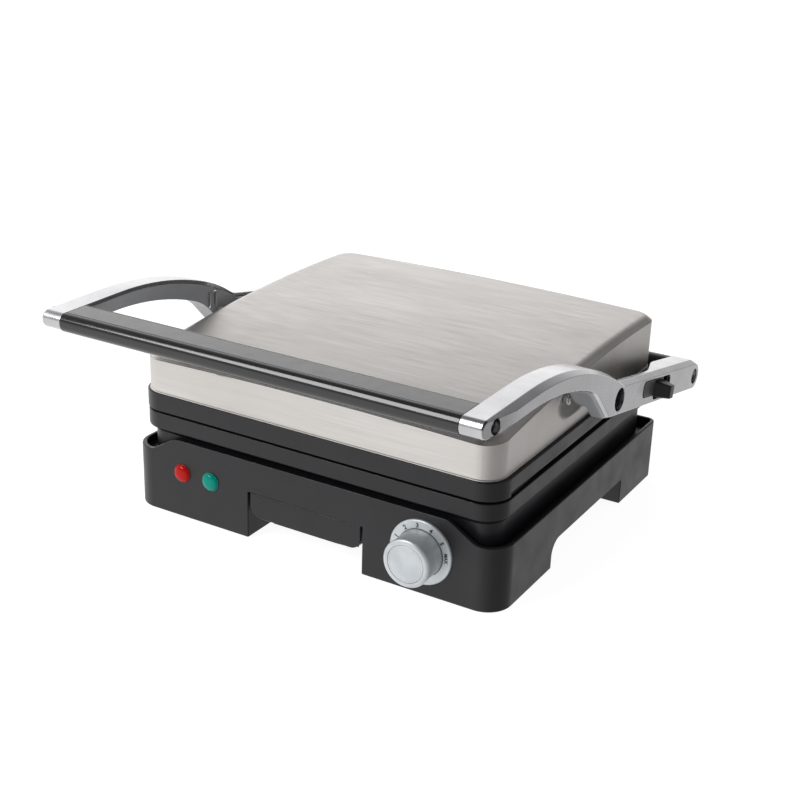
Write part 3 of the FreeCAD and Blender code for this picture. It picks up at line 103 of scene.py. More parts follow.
class Surface:
    """A material in the making: its tree, its shader and the patterns laid over it."""

    def __init__(self, name: str) -> None:
        """Starts an empty Principled material of that name."""
        self.material = bpy.data.materials.new(name)
        self.material.use_nodes = True
        self.tree = self.material.node_tree
        self.shader = self.tree.nodes["Principled BSDF"]
        self.place = add_node(self.tree, "ShaderNodeTexCoord").outputs["Object"]

    def grain(self, size_mm: float, stretch: Sequence[float] = (1, 1, 1),
              detail: float = 2.0) -> bpy.types.NodeSocket:
        """Lays a noise pattern in the object's own space.

        Args:
            size_mm: width of one grain.
            stretch: how many times longer a grain is along each axis.
            detail: finer octaves on top.

        Returns:
            The pattern's value socket.
        """
        mapping = add_node(self.tree, "ShaderNodeMapping",
                           inputs={"Vector": self.place, "Scale": [1 / s for s in stretch]})
        noise = add_node(self.tree, "ShaderNodeTexNoise", inputs={
            "Vector": mapping.outputs["Vector"], "Scale": 1 / (size_mm * MM), "Detail": detail})
        return noise.outputs["Fac"]

    def spread(self, pattern: bpy.types.NodeSocket, low: float, high: float) -> bpy.types.NodeSocket:
        """Maps the middle half of a pattern onto a range of values."""
        mapped = add_node(self.tree, "ShaderNodeMapRange", inputs={
            "Value": pattern, "From Min": 0.3, "From Max": 0.7, "To Min": low, "To Max": high})
        return mapped.outputs["Result"]

    def tint(self, pattern: bpy.types.NodeSocket, dark: str, light: str) -> None:
        """Runs the base colour between two hex values along a pattern."""
        mix = add_node(self.tree, "ShaderNodeMix", {"data_type": "RGBA"}, {
            0: self.spread(pattern, 0, 1), 6: linear(dark), 7: linear(light)})
        self.tree.links.new(mix.outputs[2], self.shader.inputs["Base Color"])

    def sheen(self, pattern: bpy.types.NodeSocket, low: float, high: float) -> None:
        """Runs the roughness between two values along a pattern."""
        self.tree.links.new(self.spread(pattern, low, high), self.shader.inputs["Roughness"])

    def relief(self, pattern: bpy.types.NodeSocket, height_mm: float, strength: float = 1.0) -> None:
        """Raises a pattern over any relief that is there already."""
        inputs = {"Height": pattern, "Distance": height_mm * MM, "Strength": strength}
        if self.shader.inputs["Normal"].is_linked:
            inputs["Normal"] = self.shader.inputs["Normal"].links[0].from_socket
        bump = add_node(self.tree, "ShaderNodeBump", inputs=inputs)
        self.tree.links.new(bump.outputs["Normal"], self.shader.inputs["Normal"])

    def fix(self, **values: object) -> None:
        """Sets values that are the same all over; each name is a socket's, with underscores for spaces."""
        for key, value in values.items():
            self.shader.inputs[key.replace("_", " ")].default_value = value


# ------------------------------------------------------------------ finishes
@dataclass(frozen=True)
class Finish:
    """What every finish has: its name and the record's material slot."""

    name: str
    slot: str

    def material(self) -> bpy.types.Material:
        """Returns the finish's material, made once."""
        found = bpy.data.materials.get(self.name)
        if found is None:
            surface = Surface(self.name)
            self.paint(surface)
            found = surface.material
        return found

    def paint(self, surface: Surface) -> None:
        """Lays the finish on a surface; each finish has its own."""
        raise NotImplementedError


@dataclass(frozen=True)
class Moulded(Finish):
    """Injection-moulded plastic or rubber: a fine spark-eroded grain that breaks up the highlights."""

    dark: str = "#0f0f11"
    light: str = "#141416"
    rough: tuple[float, float] = (0.34, 0.44)
    grain_mm: float = 0.9
    grain_height_mm: float = 0.012
    cloud_mm: float = 60.0
    ior: float = 1.5

    def paint(self, surface: Surface) -> None:
        """Clouded colour, uneven gloss and the mould's grain, drawn coarser than its real 0.1 mm to show."""
        surface.fix(IOR=self.ior)
        surface.tint(surface.grain(self.cloud_mm, detail=3), self.dark, self.light)
        surface.sheen(surface.grain(self.cloud_mm / 3, detail=4), *self.rough)
        surface.relief(surface.grain(self.grain_mm, detail=1), self.grain_height_mm)


@dataclass(frozen=True)
class Brushed(Finish):
    """Belt-brushed stainless sheet: long fine scratches across the width, soft wide highlights."""

    dark: str = "#cac6c2"
    light: str = "#d3d0cd"
    rough: tuple[float, float] = (0.42, 0.54)
    scratch_mm: float = 0.7
    length: float = 90.0
    depth_mm: float = 0.004

    def paint(self, surface: Surface) -> None:
        """Scratches across the width and down the folded sides, drawn coarser than their real 0.05 mm."""
        across = surface.grain(self.scratch_mm, (self.length, 1, 1), 3)
        down = surface.grain(self.scratch_mm, (1, 1, self.length), 3)
        normal = add_node(surface.tree, "ShaderNodeNewGeometry").outputs["Normal"]
        sideways = add_node(surface.tree, "ShaderNodeSeparateXYZ", inputs={"Vector": normal}).outputs["X"]
        amount = add_node(surface.tree, "ShaderNodeMath", {"operation": "ABSOLUTE"}, {0: sideways}).outputs[0]
        turned = add_node(surface.tree, "ShaderNodeMapRange", inputs={
            "Value": amount, "From Min": 0.6, "From Max": 0.8}).outputs["Result"]
        mixed = add_node(surface.tree, "ShaderNodeMix", {"data_type": "FLOAT"}, {
            0: turned, 2: across, 3: down}).outputs[0]
        surface.fix(Metallic=1.0)
        surface.tint(surface.grain(45, (3, 1, 1), 3), self.dark, self.light)
        surface.sheen(mixed, *self.rough)
        surface.relief(mixed, self.depth_mm)


@dataclass(frozen=True)
class Metal(Finish):
    """Cast, turned, plated or rolled metal with a fine satin tooth."""

    dark: str = "#b8b8ba"
    light: str = "#c8c8ca"
    rough: tuple[float, float] = (0.22, 0.30)
    tooth_mm: float = 0.8
    tooth_height_mm: float = 0.004
    cloud_mm: float = 30.0

    def paint(self, surface: Surface) -> None:
        """Slightly clouded metal with uneven polish and a faint tooth, drawn coarse enough to show."""
        surface.fix(Metallic=1.0)
        surface.tint(surface.grain(self.cloud_mm, detail=3), self.dark, self.light)
        surface.sheen(surface.grain(self.cloud_mm / 4, detail=4), *self.rough)
        surface.relief(surface.grain(self.tooth_mm, detail=2), self.tooth_height_mm)


@dataclass(frozen=True)
class Turned(Finish):
    """Satin-turned aluminium: fine rings about an axis that runs from front to rear."""

    at: tuple[float, float, float] = (0.0, 0.0, 0.0)
    dark: str = "#b4b8bc"
    light: str = "#c6c9cc"
    rough: tuple[float, float] = (0.26, 0.34)
    metallic: float = 1.0
    ring_mm: float = 0.6
    depth_mm: float = 0.003

    def paint(self, surface: Surface) -> None:
        """Rings round the piece's own axis over a faint cloud."""
        surface.fix(Metallic=self.metallic)
        mapping = add_node(surface.tree, "ShaderNodeMapping", inputs={
            "Vector": surface.place, "Location": [-c for c in self.at]})
        parts = add_node(surface.tree, "ShaderNodeSeparateXYZ", inputs={"Vector": mapping.outputs["Vector"]})
        flat = add_node(surface.tree, "ShaderNodeCombineXYZ", inputs={
            "X": parts.outputs["X"], "Z": parts.outputs["Z"]}).outputs["Vector"]
        length = add_node(surface.tree, "ShaderNodeVectorMath", {"operation": "LENGTH"}, {0: flat})
        rings = add_node(surface.tree, "ShaderNodeTexNoise", {"noise_dimensions": "1D"}, {
            "W": length.outputs["Value"], "Scale": 1 / (self.ring_mm * MM), "Detail": 2.0}).outputs["Fac"]
        surface.tint(surface.grain(12, detail=3), self.dark, self.light)
        surface.sheen(rings, *self.rough)
        surface.relief(rings, self.depth_mm)


@dataclass(frozen=True)
class Lens(Finish):
    """Clear tinted polycarbonate lens with a hot glossy face."""

    deep: str = "#a8160e"
    bright: str = "#e03a28"

    def paint(self, surface: Surface) -> None:
        """Colour varies faintly along a broad cloud, under a clear hard gloss."""
        surface.fix(Roughness=0.12, IOR=1.25)
        surface.tint(surface.grain(40, detail=0), self.deep, self.bright)


@dataclass(frozen=True)
class Felt(Finish):
    """Mineral wool mat: matted pale fibres."""

    dark: str = "#b9b09a"
    light: str = "#d6cfbd"

    def paint(self, surface: Surface) -> None:
        """Fibres a millimetre wide, lying along the mat."""
        fibres = surface.grain(1.2, (4, 2, 1), 5)
        surface.fix(Roughness=0.95)
        surface.tint(fibres, self.dark, self.light)
        surface.relief(fibres, 0.6)


KNOB_AXIS = (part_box("dial_ring")[0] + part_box("dial_ring")[1]) / 2

# ABS housings in charcoal, satin from the mould, darkest in their channels
CHARCOAL = Moulded("charcoal_moulded_abs", "charcoal_plastic", "#101013", "#151518", ior=1.42)
# grade 430 stainless, belt-brushed, faintly warm
STEEL = Brushed("brushed_stainless_steel", "brushed_steel")
# zinc casting under satin silver lacquer: soft, bright, nearly mirror-like on its rounded front
CASTING = Metal("satin_lacquered_casting", "satin_silver", "#aaaaac", "#b9b9bb", (0.22, 0.30), 0.9, 0.002, 40)
# grey moulded lining inside the arms
LINER = Moulded("matt_arm_lining", "dark_liner", "#808184", "#8c8d8f", (0.34, 0.46))
# polished black phenolic of the handle
GLOSS = Moulded("polished_black_handle", "gloss_black", "#141415", "#19191b", (0.10, 0.16), 2.0, 0.002, 30,
                1.55)
# the same moulding's flat top, rougher, its colour painted a shade lighter for the light it catches from
# above
TOPLIT_BLACK = Moulded("toplit_black_insert", "gloss_black", "#1c1c1d", "#232324", (0.20, 0.27), 2.0, 0.002, 30, 1.53)
# acetal slide, self-lubricating and dull
SLIDE = Moulded("black_acetal_slide", "black_slide", "#0a0a0b", "#0f0f10", (0.34, 0.44))
# ABS knob under silver paint: flake in a clear binder, so only part of it mirrors
KNOB_PAINT = Turned("silver_painted_knob", "knob_silver", tuple(KNOB_AXIS), "#aeb2b6", "#bdc1c4",
                    (0.40, 0.48), 0.6)
# spun aluminium dial under a matt lacquer
DIAL_METAL = Turned("turned_dial_aluminium", "dial_silver", tuple(KNOB_AXIS), "#b4b9bc", "#c2c6c9",
                    (0.4, 0.5), 0.7)
# pad-printed ink
INK = Moulded("printed_dial_ink", "gloss_black", "#101214", "#17191c", (0.45, 0.55), 0.6, 0.002, 5)
# tinted polycarbonate, clear and hard
RED = Lens("red_lamp_polycarbonate", "red_lens", "#900a05", "#9a0e06")
GREEN = Lens("green_lamp_polycarbonate", "green_lens", "#006e60", "#00786a")
# fluoropolymer over bead-blasted aluminium: black, low in gloss
COATING = Moulded("non_stick_coating", "plate_coating", "#1a1a1b", "#232324", (0.34, 0.48), 0.6, 0.02, 40,
                  1.38)
# steel-sheathed element, browned by heat
SHEATH = Metal("heat_stained_sheath", "element_sheath", "#5e564c", "#7d7468", (0.35, 0.5), 0.8, 0.01, 12)
# bright aluminised sheet that throws the heat back
BRIGHT = Metal("bright_rolled_sheet", "reflector_sheet", "#cfcfd0", "#dcdcde", (0.14, 0.26), 1.5, 0.01, 20)
# mineral wool mat behind the reflector
WOOL = Felt("mineral_wool_mat", "mineral_wool")
# moulded nitrile feet
RUBBER = Moulded("moulded_rubber", "foot_rubber", "#232325", "#2c2c2e", (0.7, 0.85), 0.8, 0.03)
# zinc-plated steel screws, pins and clips
ZINC = Metal("zinc_plated_steel", "plated_steel", "#b4b6b8", "#c9cacb", (0.16, 0.26), 0.7, 0.004, 9)
# natural nylon bushes and pale thermoset of the controls
NYLON = Moulded("natural_nylon", "bush_nylon", "#cfcbbf", "#dad7cc", (0.38, 0.5))
CONTROL = Moulded("pale_control_plastic", "control_plastic", "#c9c5b8", "#d6d2c6", (0.35, 0.5))


# ------------------------------------------------------------------ mesh helpers
class Along(Enum):
    """Directions a turned piece may point in."""

    RIGHT = Vector((1, 0, 0))
    LEFT = Vector((-1, 0, 0))
    FRONT = Vector((0, -1, 0))
    UP = Vector((0, 0, 1))


def lathe(profile: Iterable[tuple[float, float]], at: Vector, along: Along,
          steps: int = 72) -> bmesh.types.BMesh:
    """Turns a profile about an axis.

    Args:
        profile: radius and height pairs in millimetres, from one pole or rim to the other.
        at: where the height is zero, in metres.
        along: where the height points.
        steps: facets round the axis.

    Returns:
        The turned shape, closed where the profile meets the axis.
    """
    bm = bmesh.new()
    points = [bm.verts.new((r * MM, 0, h * MM)) for r, h in profile]
    edges = [bm.edges.new(pair) for pair in zip(points, points[1:])]
    bmesh.ops.spin(bm, geom=points + edges, cent=(0, 0, 0), axis=(0, 0, 1), angle=2 * math.pi, steps=steps,
                   use_merge=True)
    bmesh.ops.remove_doubles(bm, verts=bm.verts, dist=1e-7)
    bmesh.ops.recalc_face_normals(bm, faces=bm.faces)
    turn = Vector((0, 0, 1)).rotation_difference(along.value).to_matrix().to_4x4()
    bmesh.ops.transform(bm, matrix=Matrix.Translation(at) @ turn, verts=bm.verts)
    return bm


def finished(bm: bmesh.types.BMesh, name: str, crease: float = 32.0) -> bpy.types.Object:
    """Makes an object of a bmesh, smooth but for its creases.

    Args:
        bm: the shape, in the row frame; it is freed.
        name: the piece's name.
        crease: angle in degrees above which an edge stays sharp.

    Returns:
        The object, at the origin.
    """
    mesh = bpy.data.meshes.new(name)
    bm.to_mesh(mesh)
    bm.free()
    mesh.shade_smooth()
    mesh.set_sharp_from_angle(angle=math.radians(crease))
    piece = bpy.data.objects.new(name, mesh)
    bpy.context.scene.collection.objects.link(piece)
    weighted = piece.modifiers.new("even_shading", "WEIGHTED_NORMAL")
    weighted.keep_sharp = True
    return piece


def joined(*parts: bmesh.types.BMesh) -> bmesh.types.BMesh:
    """Puts several bmeshes into one and frees them."""
    whole = bmesh.new()
    for part in parts:
        mesh = bpy.data.meshes.new("part")
        part.to_mesh(mesh)
        part.free()
        whole.from_mesh(mesh)
        bpy.data.meshes.remove(mesh)
    return whole


def bisect(bm: bmesh.types.BMesh, at: Sequence[float], normal: Sequence[float]) -> None:
    """Cuts new edges where a plane meets a shape."""
    bmesh.ops.bisect_plane(bm, geom=[*bm.verts, *bm.edges, *bm.faces], plane_co=at, plane_no=normal)


def eased_copy(node: str, width_mm: float, angle: float = 30.0, segments: int = 3) -> bmesh.types.BMesh:
    """Copies a node of the frame, merges it and eases its sharp edges as a mould or a file would.

    Args:
        node: the frame's node.
        width_mm: how far back each edge is eased.
        angle: edges that turn by more than this many degrees are eased.
        segments: facets across an eased edge.

    Returns:
        The eased shape.
    """
    bm = bmesh.new()
    bm.from_mesh(NODES[node].data)
    bmesh.ops.remove_doubles(bm, verts=bm.verts, dist=0.02 * MM)
    bmesh.ops.dissolve_degenerate(bm, dist=0.01 * MM, edges=bm.edges)
    bmesh.ops.dissolve_limit(bm, angle_limit=math.radians(0.3), verts=bm.verts, edges=bm.edges)
    if width_mm > 0:
        skin = BVHTree.FromBMesh(bm)
        sharp = [e for e in bm.edges if len(e.link_faces) == 2 and e.calc_face_angle(0) > math.radians(angle)]
        bmesh.ops.bevel(bm, geom=sharp, offset=width_mm * MM, offset_type="OFFSET", segments=segments,
                        profile=0.5, affect="EDGES", clamp_overlap=False, material=-1, loop_slide=True)
        settle(bm, skin, 0.6 * width_mm * MM, *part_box(node))
    return bm


def settle(bm: bmesh.types.BMesh, skin: BVHTree, reach: float, low: Vector, high: Vector) -> None:
    """Brings points that an easing threw off the surface back onto it.

    Args:
        bm: the eased shape.
        skin: the surface before it was eased.
        reach: how far an eased point may lie from that surface.
        low: lowest corner of the node's box.
        high: its highest corner.
    """
    for v in bm.verts:
        near, _, _, away = skin.find_nearest(v.co)
        outside = any(v.co[i] < low[i] or v.co[i] > high[i] for i in range(3))
        if near is not None and (away > reach or outside):
            v.co = near
    bmesh.ops.dissolve_degenerate(bm, dist=0.005 * MM, edges=bm.edges)


class Assembly:
    """Pieces that belong together on one body of the frame."""

    body: str = "base"

    def dress(self, piece: bpy.types.Object, finish: Finish, stands_for: Sequence[str] = (),
              body: Optional[str] = None) -> bpy.types.Object:
        """Gives a new piece its finish and its body.

        Args:
            piece: the new piece, in place.
            finish: what it is made of.
            stands_for: nodes of the frame that it replaces.
            body: the body it rides on, if not the assembly's own.

        Returns:
            The piece.
        """
        piece.data.materials.clear()
        piece.data.materials.append(finish.material())
        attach(piece, body or self.body)
        if stands_for:
            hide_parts(*stands_for)
        LOG.info("%s: %s on %s, %d faces", piece.name, finish.name, body or self.body,
                 len(piece.data.polygons))
        return piece

    def keep(self, finish: Finish, *nodes: str) -> None:
        """Gives nodes of the frame their finish, and leaves their shape."""
        for node in nodes:
            NODES[node].data.materials.clear()
            NODES[node].data.materials.append(finish.material())
            LOG.info("%s: %s", node, finish.name)

    def ease(self, node: str, finish: Finish, width_mm: float, angle: float = 30.0,
             segments: int = 3) -> bpy.types.Object:
        """Replaces a node of the frame by its eased copy."""
        piece = finished(eased_copy(node, width_mm, angle, segments), node + "_eased")
        self.keep(finish, node)
        return self.dress(piece, finish, [node], BODY_OF[node])


# ------------------------------------------------------------------ assemblies
@dataclass
class Base(Assembly):
    """Four-legged base with its raised fascia, the lower plate in its housing, and what is inside."""

    edge_mm: float = 0.9
    lip_mm: float = 0.8
    body: str = "base"

    def build(self) -> None:
        """Eases what shows and finishes the rest."""
        self.ease("base_housing", CHARCOAL, self.edge_mm)
        self.ease("lower_plate_housing", CHARCOAL, self.lip_mm)
        self.ease("lower_grill_plate", COATING, 0.5)
        self.ease("bottom_cover", CHARCOAL, 0.3)
        self.ease("cord_gland", CHARCOAL, 0.6)
        self.ease("rubber_feet", RUBBER, 0.4)
        self.ease("bottom_screws", ZINC, 0.25)
        self.keep(CHARCOAL, "tray_channel")
        self.keep(BRIGHT, "lower_reflector", "drain_chute")
        self.keep(SHEATH, "lower_heating_element")
        self.keep(ZINC, "lower_element_clamps")
        self.keep(CONTROL, "thermostat", "lamp_holders", "terminal_block")


@dataclass
class Hinge(Assembly):
    """Barrel across the rear, its shaft and the bushes in the arms."""

    edge_mm: float = 0.8

    def build(self) -> None:
        """Eases the barrel and the caps."""
        self.ease("hinge_cover", CHARCOAL, self.edge_mm)
        self.ease("hinge_caps", CASTING, 0.4)
        self.keep(ZINC, "hinge_shaft", "hinge_brackets")
        self.keep(NYLON, "hinge_bushes")


@dataclass
class DripTray(Assembly):
    """Tray whose front is part of the base's face."""

    edge_mm: float = 0.9

    def build(self) -> None:
        """Eases the tray's moulded edges."""
        self.ease("drip_tray", CHARCOAL, self.edge_mm)


@dataclass
class Controls(Assembly):
    """Heat dial, its knob and the two lamps on the front."""

    knob_r: float = 18.7
    skirt_r: float = 18.2
    knob_l: float = 20.6
    face_r: float = 14.4
    dial_r: float = 25.4
    dial_t: float = 2.0
    marks: tuple[tuple[str, float], ...] = (
        ("1", -68), ("2", -38), ("3", -8), ("4", 23), ("5", 55), ("MAX", 86))
    mark_r: float = 21.1
    mark_h: float = 3.6
    mark_bold: float = 0.17
    mark_t: float = 0.05
    arc_r: float = 18.6
    arc_w: float = 0.5
    arc_from: float = -75.0
    arc_to: float = 140.0
    lamp_r: float = 7.6
    body: str = "base"

    def build(self) -> None:
        """Makes the dial, the knob and the lamps."""
        low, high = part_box("dial_ring")
        self.centre = Vector(((low.x + high.x) / 2, high.y, (low.z + high.z) / 2))
        self.dial()
        self.numbers()
        self.arc()
        self.knob()
        for node, finish in (("red_lamp_lens", RED), ("green_lamp_lens", GREEN)):
            self.lamp(node, finish)
        self.keep(ZINC, "knob_spindle")

    def dial(self) -> None:
        """Flat ring with a bright chamfer round it."""
        t = self.dial_t
        outer, inner = self.dial_r, self.skirt_r * 0.5
        profile = [(inner, 0), (outer, 0), (outer, t - 0.7), (outer - 0.15, t - 0.35), (outer - 0.6, t),
                   (inner, t), (inner, 0)]
        ring = lathe(profile, self.centre, Along.FRONT, 96)
        self.dress(finished(ring, "dial_ring_turned"), DIAL_METAL, ["dial_ring"])

    def numbers(self) -> None:
        """Heat steps printed round the dial, tops outward."""
        parts = []
        for text, degrees in self.marks:
            curve = bpy.data.curves.new("mark", "FONT")
            curve.body = text
            curve.align_x = "CENTER"
            curve.align_y = "CENTER"
            curve.size = self.mark_h * (1.35 if len(text) == 1 else 1.0) * MM
            curve.offset = self.mark_bold * MM
            curve.extrude = self.mark_t / 2 * MM
            holder = bpy.data.objects.new("mark", curve)
            mesh = bpy.data.meshes.new_from_object(holder)
            bm = bmesh.new()
            bm.from_mesh(mesh)
            stand = Matrix.Rotation(math.radians(90), 4, "X")
            turn = Matrix.Rotation(math.radians(degrees), 4, "Y")
            out = Matrix.Translation((0, 0, self.mark_r * MM))
            lift = Matrix.Translation(self.centre + Vector((0, -(self.dial_t + self.mark_t / 2) * MM, 0)))
            bmesh.ops.transform(bm, matrix=lift @ turn @ out @ stand, verts=bm.verts)
            parts.append(bm)
            bpy.data.objects.remove(holder)
            bpy.data.curves.remove(curve)
            bpy.data.meshes.remove(mesh)
        self.dress(finished(joined(*parts), "dial_numbers"), INK)

    def arc(self) -> None:
        """Fine printed line inside the numbers."""
        bm = bmesh.new()
        y0, y1 = -(self.dial_t + self.mark_t) * MM, -(self.dial_t - 0.02) * MM
        r0, r1 = (self.arc_r - self.arc_w / 2) * MM, (self.arc_r + self.arc_w / 2) * MM
        corners = [bm.verts.new(c) for c in ((0, y0, r0), (0, y0, r1), (0, y1, r1), (0, y1, r0))]
        face = bm.faces.new(corners)
        bmesh.ops.rotate(bm, verts=bm.verts, matrix=Matrix.Rotation(math.radians(self.arc_from), 3, "Y"))
        bmesh.ops.spin(bm, geom=[face, *face.edges, *face.verts], cent=(0, 0, 0), axis=(0, 1, 0),
                       angle=math.radians(self.arc_to - self.arc_from), steps=60)
        bmesh.ops.recalc_face_normals(bm, faces=bm.faces)
        bmesh.ops.translate(bm, verts=bm.verts, vec=self.centre)
        self.dress(finished(bm, "dial_arc"), INK)

    def knob(self) -> None:
        """Slightly waisted grip with a broad rounded rim and a disc let into its face."""
        r, s, length, f = self.knob_r, self.skirt_r, self.knob_l, self.face_r
        start = self.centre + Vector((0, -(self.dial_t + 0.3) * MM, 0))
        profile = [(0, 1.2), (s - 1.6, 1.2), (s - 1.2, 0), (s - 0.15, 0), (s, 0.2), (s, 6.0),
                   (r - 0.65, 10.0), (r - 0.6, 13.0), (r - 0.3, 16.0), (r - 0.05, 17.6), (r, 18.3),
                   (r - 0.15, 19.1), (r - 0.6, 19.85), (r - 1.4, length - 0.2), (r - 2.6, length),
                   (f + 0.75, length), (f + 0.35, length - 0.1), (f + 0.15, length - 0.65),
                   (0, length - 0.65)]
        grip = finished(lathe(profile, start, Along.FRONT, 120), "knob_grip")
        self.dress(grip, KNOB_PAINT, ["thermostat_knob"], "knob")
        back, front = length - 0.6, length - 0.16
        disc = [(0, back), (f - 0.05, back), (f, back + 0.1), (f, front - 0.15), (f - 0.2, front),
                (f - 1.4, front), (f - 1.6, front - 0.12), (f - 1.8, front), (0, front + 0.02)]
        cap = finished(lathe(disc, start, Along.FRONT, 120), "knob_face_disc", 40)
        self.dress(cap, KNOB_PAINT, ["knob_cap"], "knob")

    def lamp(self, node: str, finish: Finish) -> None:
        """Domed lens with a thin flange and its stem through the wall."""
        low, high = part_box(node)
        r = self.lamp_r
        at = Vector(((low.x + high.x) / 2, self.centre.y, (low.z + high.z) / 2))
        stem = (self.centre.y - high.y) / MM
        profile = [(0, stem), (3.9, stem), (3.9, 0), (r - 0.15, 0), (r, 0.15), (r, 0.5), (r - 0.25, 0.75)]
        profile += [((r - 0.55) * math.cos(math.radians(a)), 0.75 + 3.15 * math.sin(math.radians(a)))
                    for a in range(0, 90, 9)]
        profile.append((0, 3.9))
        lens = finished(lathe(profile, at, Along.FRONT, 48), node + "_domed", 50)
        self.dress(lens, finish, [node])


@dataclass
class Head(Assembly):
    """Upper plate in its frame under the brushed steel cover, hung on two pins."""

    half: float = (COVER_HIGH.x - COVER_LOW.x) / 2
    front: float = COVER_LOW.y
    rear: float = COVER_HIGH.y
    low: float = COVER_LOW.z
    corner_r: float = 18.0
    crown_z: float = COVER_HIGH.z
    crown_y: float = COVER_HIGH.y - 74.0
    crown_r: float = 1600.0
    crown_side_r: float = 4500.0
    roll_r: float = 10.0
    roll_deg: float = 53.0
    roll_steps: int = 6
    corner_steps: int = 14
    shoulder: float = 0.7
    shoulder_lip: tuple[float, float, float] = (0.35, 0.3, 0.45)
    sheet: float = 0.9
    hem: float = 0.35
    pivot: tuple[float, float] = (COVER_HIGH.y - 167.0, 124.0)
    scoop: tuple[float, float, float] = (30.0, 14.5, 7.0)
    body: str = "head"

    def build(self) -> None:
        """Makes the cover and the pins, and eases the frame and the plate."""
        self.cover()
        self.pins()
        self.ease("upper_plate_housing", CHARCOAL, 0.8)
        self.ease("upper_grill_plate", COATING, 0.5)
        self.keep(SHEATH, "upper_heating_element")
        self.keep(ZINC, "upper_element_clamps", "upper_plate_screws", "pivot_brackets")
        self.keep(BRIGHT, "upper_reflector")
        self.keep(WOOL, "upper_insulation")

    def crown(self, x: float, y: float) -> float:
        """Height of the crowned top at a place, in millimetres."""
        along = (y - self.crown_y) ** 2 / (2 * self.crown_r)
        return self.crown_z - along - x ** 2 / (2 * self.crown_side_r)

    def pressed(self, y: float, z: float) -> float:
        """How far a side is pressed in at a place, in millimetres."""
        long_half, round_half, depth = self.scoop
        away = ((y - self.pivot[0]) / long_half) ** 2 + ((z - self.pivot[1]) / round_half) ** 2
        if away >= 1:
            return 0.0
        return depth * (1 - away) ** 1.5

    def cover(self) -> None:
        """Pressed sheet: upright walls, a proud shoulder, a rolled edge, a crowned top and a hemmed foot."""
        bm = bmesh.new()
        depth = self.rear - self.front
        roll_h = self.roll_r * (1 - math.cos(math.radians(self.roll_deg)))
        bmesh.ops.create_cube(bm, size=1)
        bmesh.ops.scale(bm, vec=(2 * self.half, depth, 1), verts=bm.verts)
        bmesh.ops.translate(bm, vec=(0, (self.front + self.rear) / 2, -roll_h - 0.5), verts=bm.verts)
        upright = [e for e in bm.edges if abs(e.verts[0].co.z - e.verts[1].co.z) > 0.5]
        bmesh.ops.bevel(bm, geom=upright, offset=self.corner_r, offset_type="OFFSET",
                        segments=self.corner_steps, profile=0.5, affect="EDGES", material=-1)
        foot = min(bm.faces, key=lambda f: f.calc_center_median().z)
        bmesh.ops.delete(bm, geom=[foot], context="FACES_ONLY")
        top = max(bm.faces, key=lambda f: f.calc_center_median().z)
        ramp, rise, fall = self.shoulder_lip
        bmesh.ops.inset_individual(bm, faces=[top], thickness=ramp, depth=rise)
        bmesh.ops.inset_individual(bm, faces=[top], thickness=self.shoulder - ramp, depth=-fall)
        angles = [math.radians(self.roll_deg * (1 - k / self.roll_steps)) for k in range(self.roll_steps + 1)]
        share = (roll_h - (rise - fall)) / roll_h
        for begin, end in zip(angles, angles[1:]):
            across = self.roll_r * (math.sin(begin) - math.sin(end))
            up = self.roll_r * (math.cos(end) - math.cos(begin)) * share
            bmesh.ops.inset_individual(bm, faces=[top], thickness=across, depth=up)
        for axis, low, high, step in ((0, -self.half, self.half, 12.0), (1, self.front, self.rear, 8.0)):
            count = int((high - low) / step)
            for i in range(1, count):
                at, normal = [0.0, 0.0, 0.0], [0.0, 0.0, 0.0]
                at[axis] = low + (high - low) * i / count
                normal[axis] = 1.0
                bisect(bm, at, normal)
        for i in range(-12, 13):
            at = (0, self.pivot[0] + i * self.scoop[0] / 12, 0)
            bisect(bm, at, (0, 1, 0))
        self.raise_walls(bm)
        bmesh.ops.translate(bm, vec=(MIDDLE_X, 0, 0), verts=bm.verts)
        bmesh.ops.scale(bm, vec=(MM, MM, MM), verts=bm.verts)
        bmesh.ops.recalc_face_normals(bm, faces=bm.faces)
        piece = finished(bm, "steel_cover_pressed", 28)
        wall = piece.modifiers.new("sheet_thickness", "SOLIDIFY")
        wall.thickness = self.sheet * MM
        wall.offset = -1
        piece.modifiers.move(1, 0)
        self.dress(piece, STEEL, ["steel_cover"])

    def raise_walls(self, bm: bmesh.types.BMesh) -> None:
        """Lifts the flat blank to its crown, cuts rows into the walls, presses the scoops, turns out the hem.

        Args:
            bm: the blank, its foot the lowest row of points, in millimetres about a crown at height zero.
        """
        foot = min(v.co.z for v in bm.verts)
        for v in bm.verts:
            if v.co.z < foot + 0.2:
                v.co.z = self.low
            else:
                v.co.z += self.crown(v.co.x, v.co.y)
        rows = [self.low + 0.5, self.low + 1.0, self.low + 1.5]
        rows += [self.pivot[1] + i * self.scoop[1] / 8 for i in range(-8, 9)]
        for z in rows:
            bisect(bm, (0, 0, z), (0, 0, 1))
        for v in bm.verts:
            if abs(v.co.x) > self.half - 0.5:
                v.co.x -= math.copysign(self.pressed(v.co.y, v.co.z), v.co.x)
        middle = Vector((0, (self.front + self.rear) / 2, 0))
        for v in bm.verts:
            if v.co.z < self.low + 1.1:
                out = v.co - middle
                share = self.hem / max(abs(out.x), abs(out.y), 1)
                v.co.x += out.x * share
                v.co.y += out.y * share

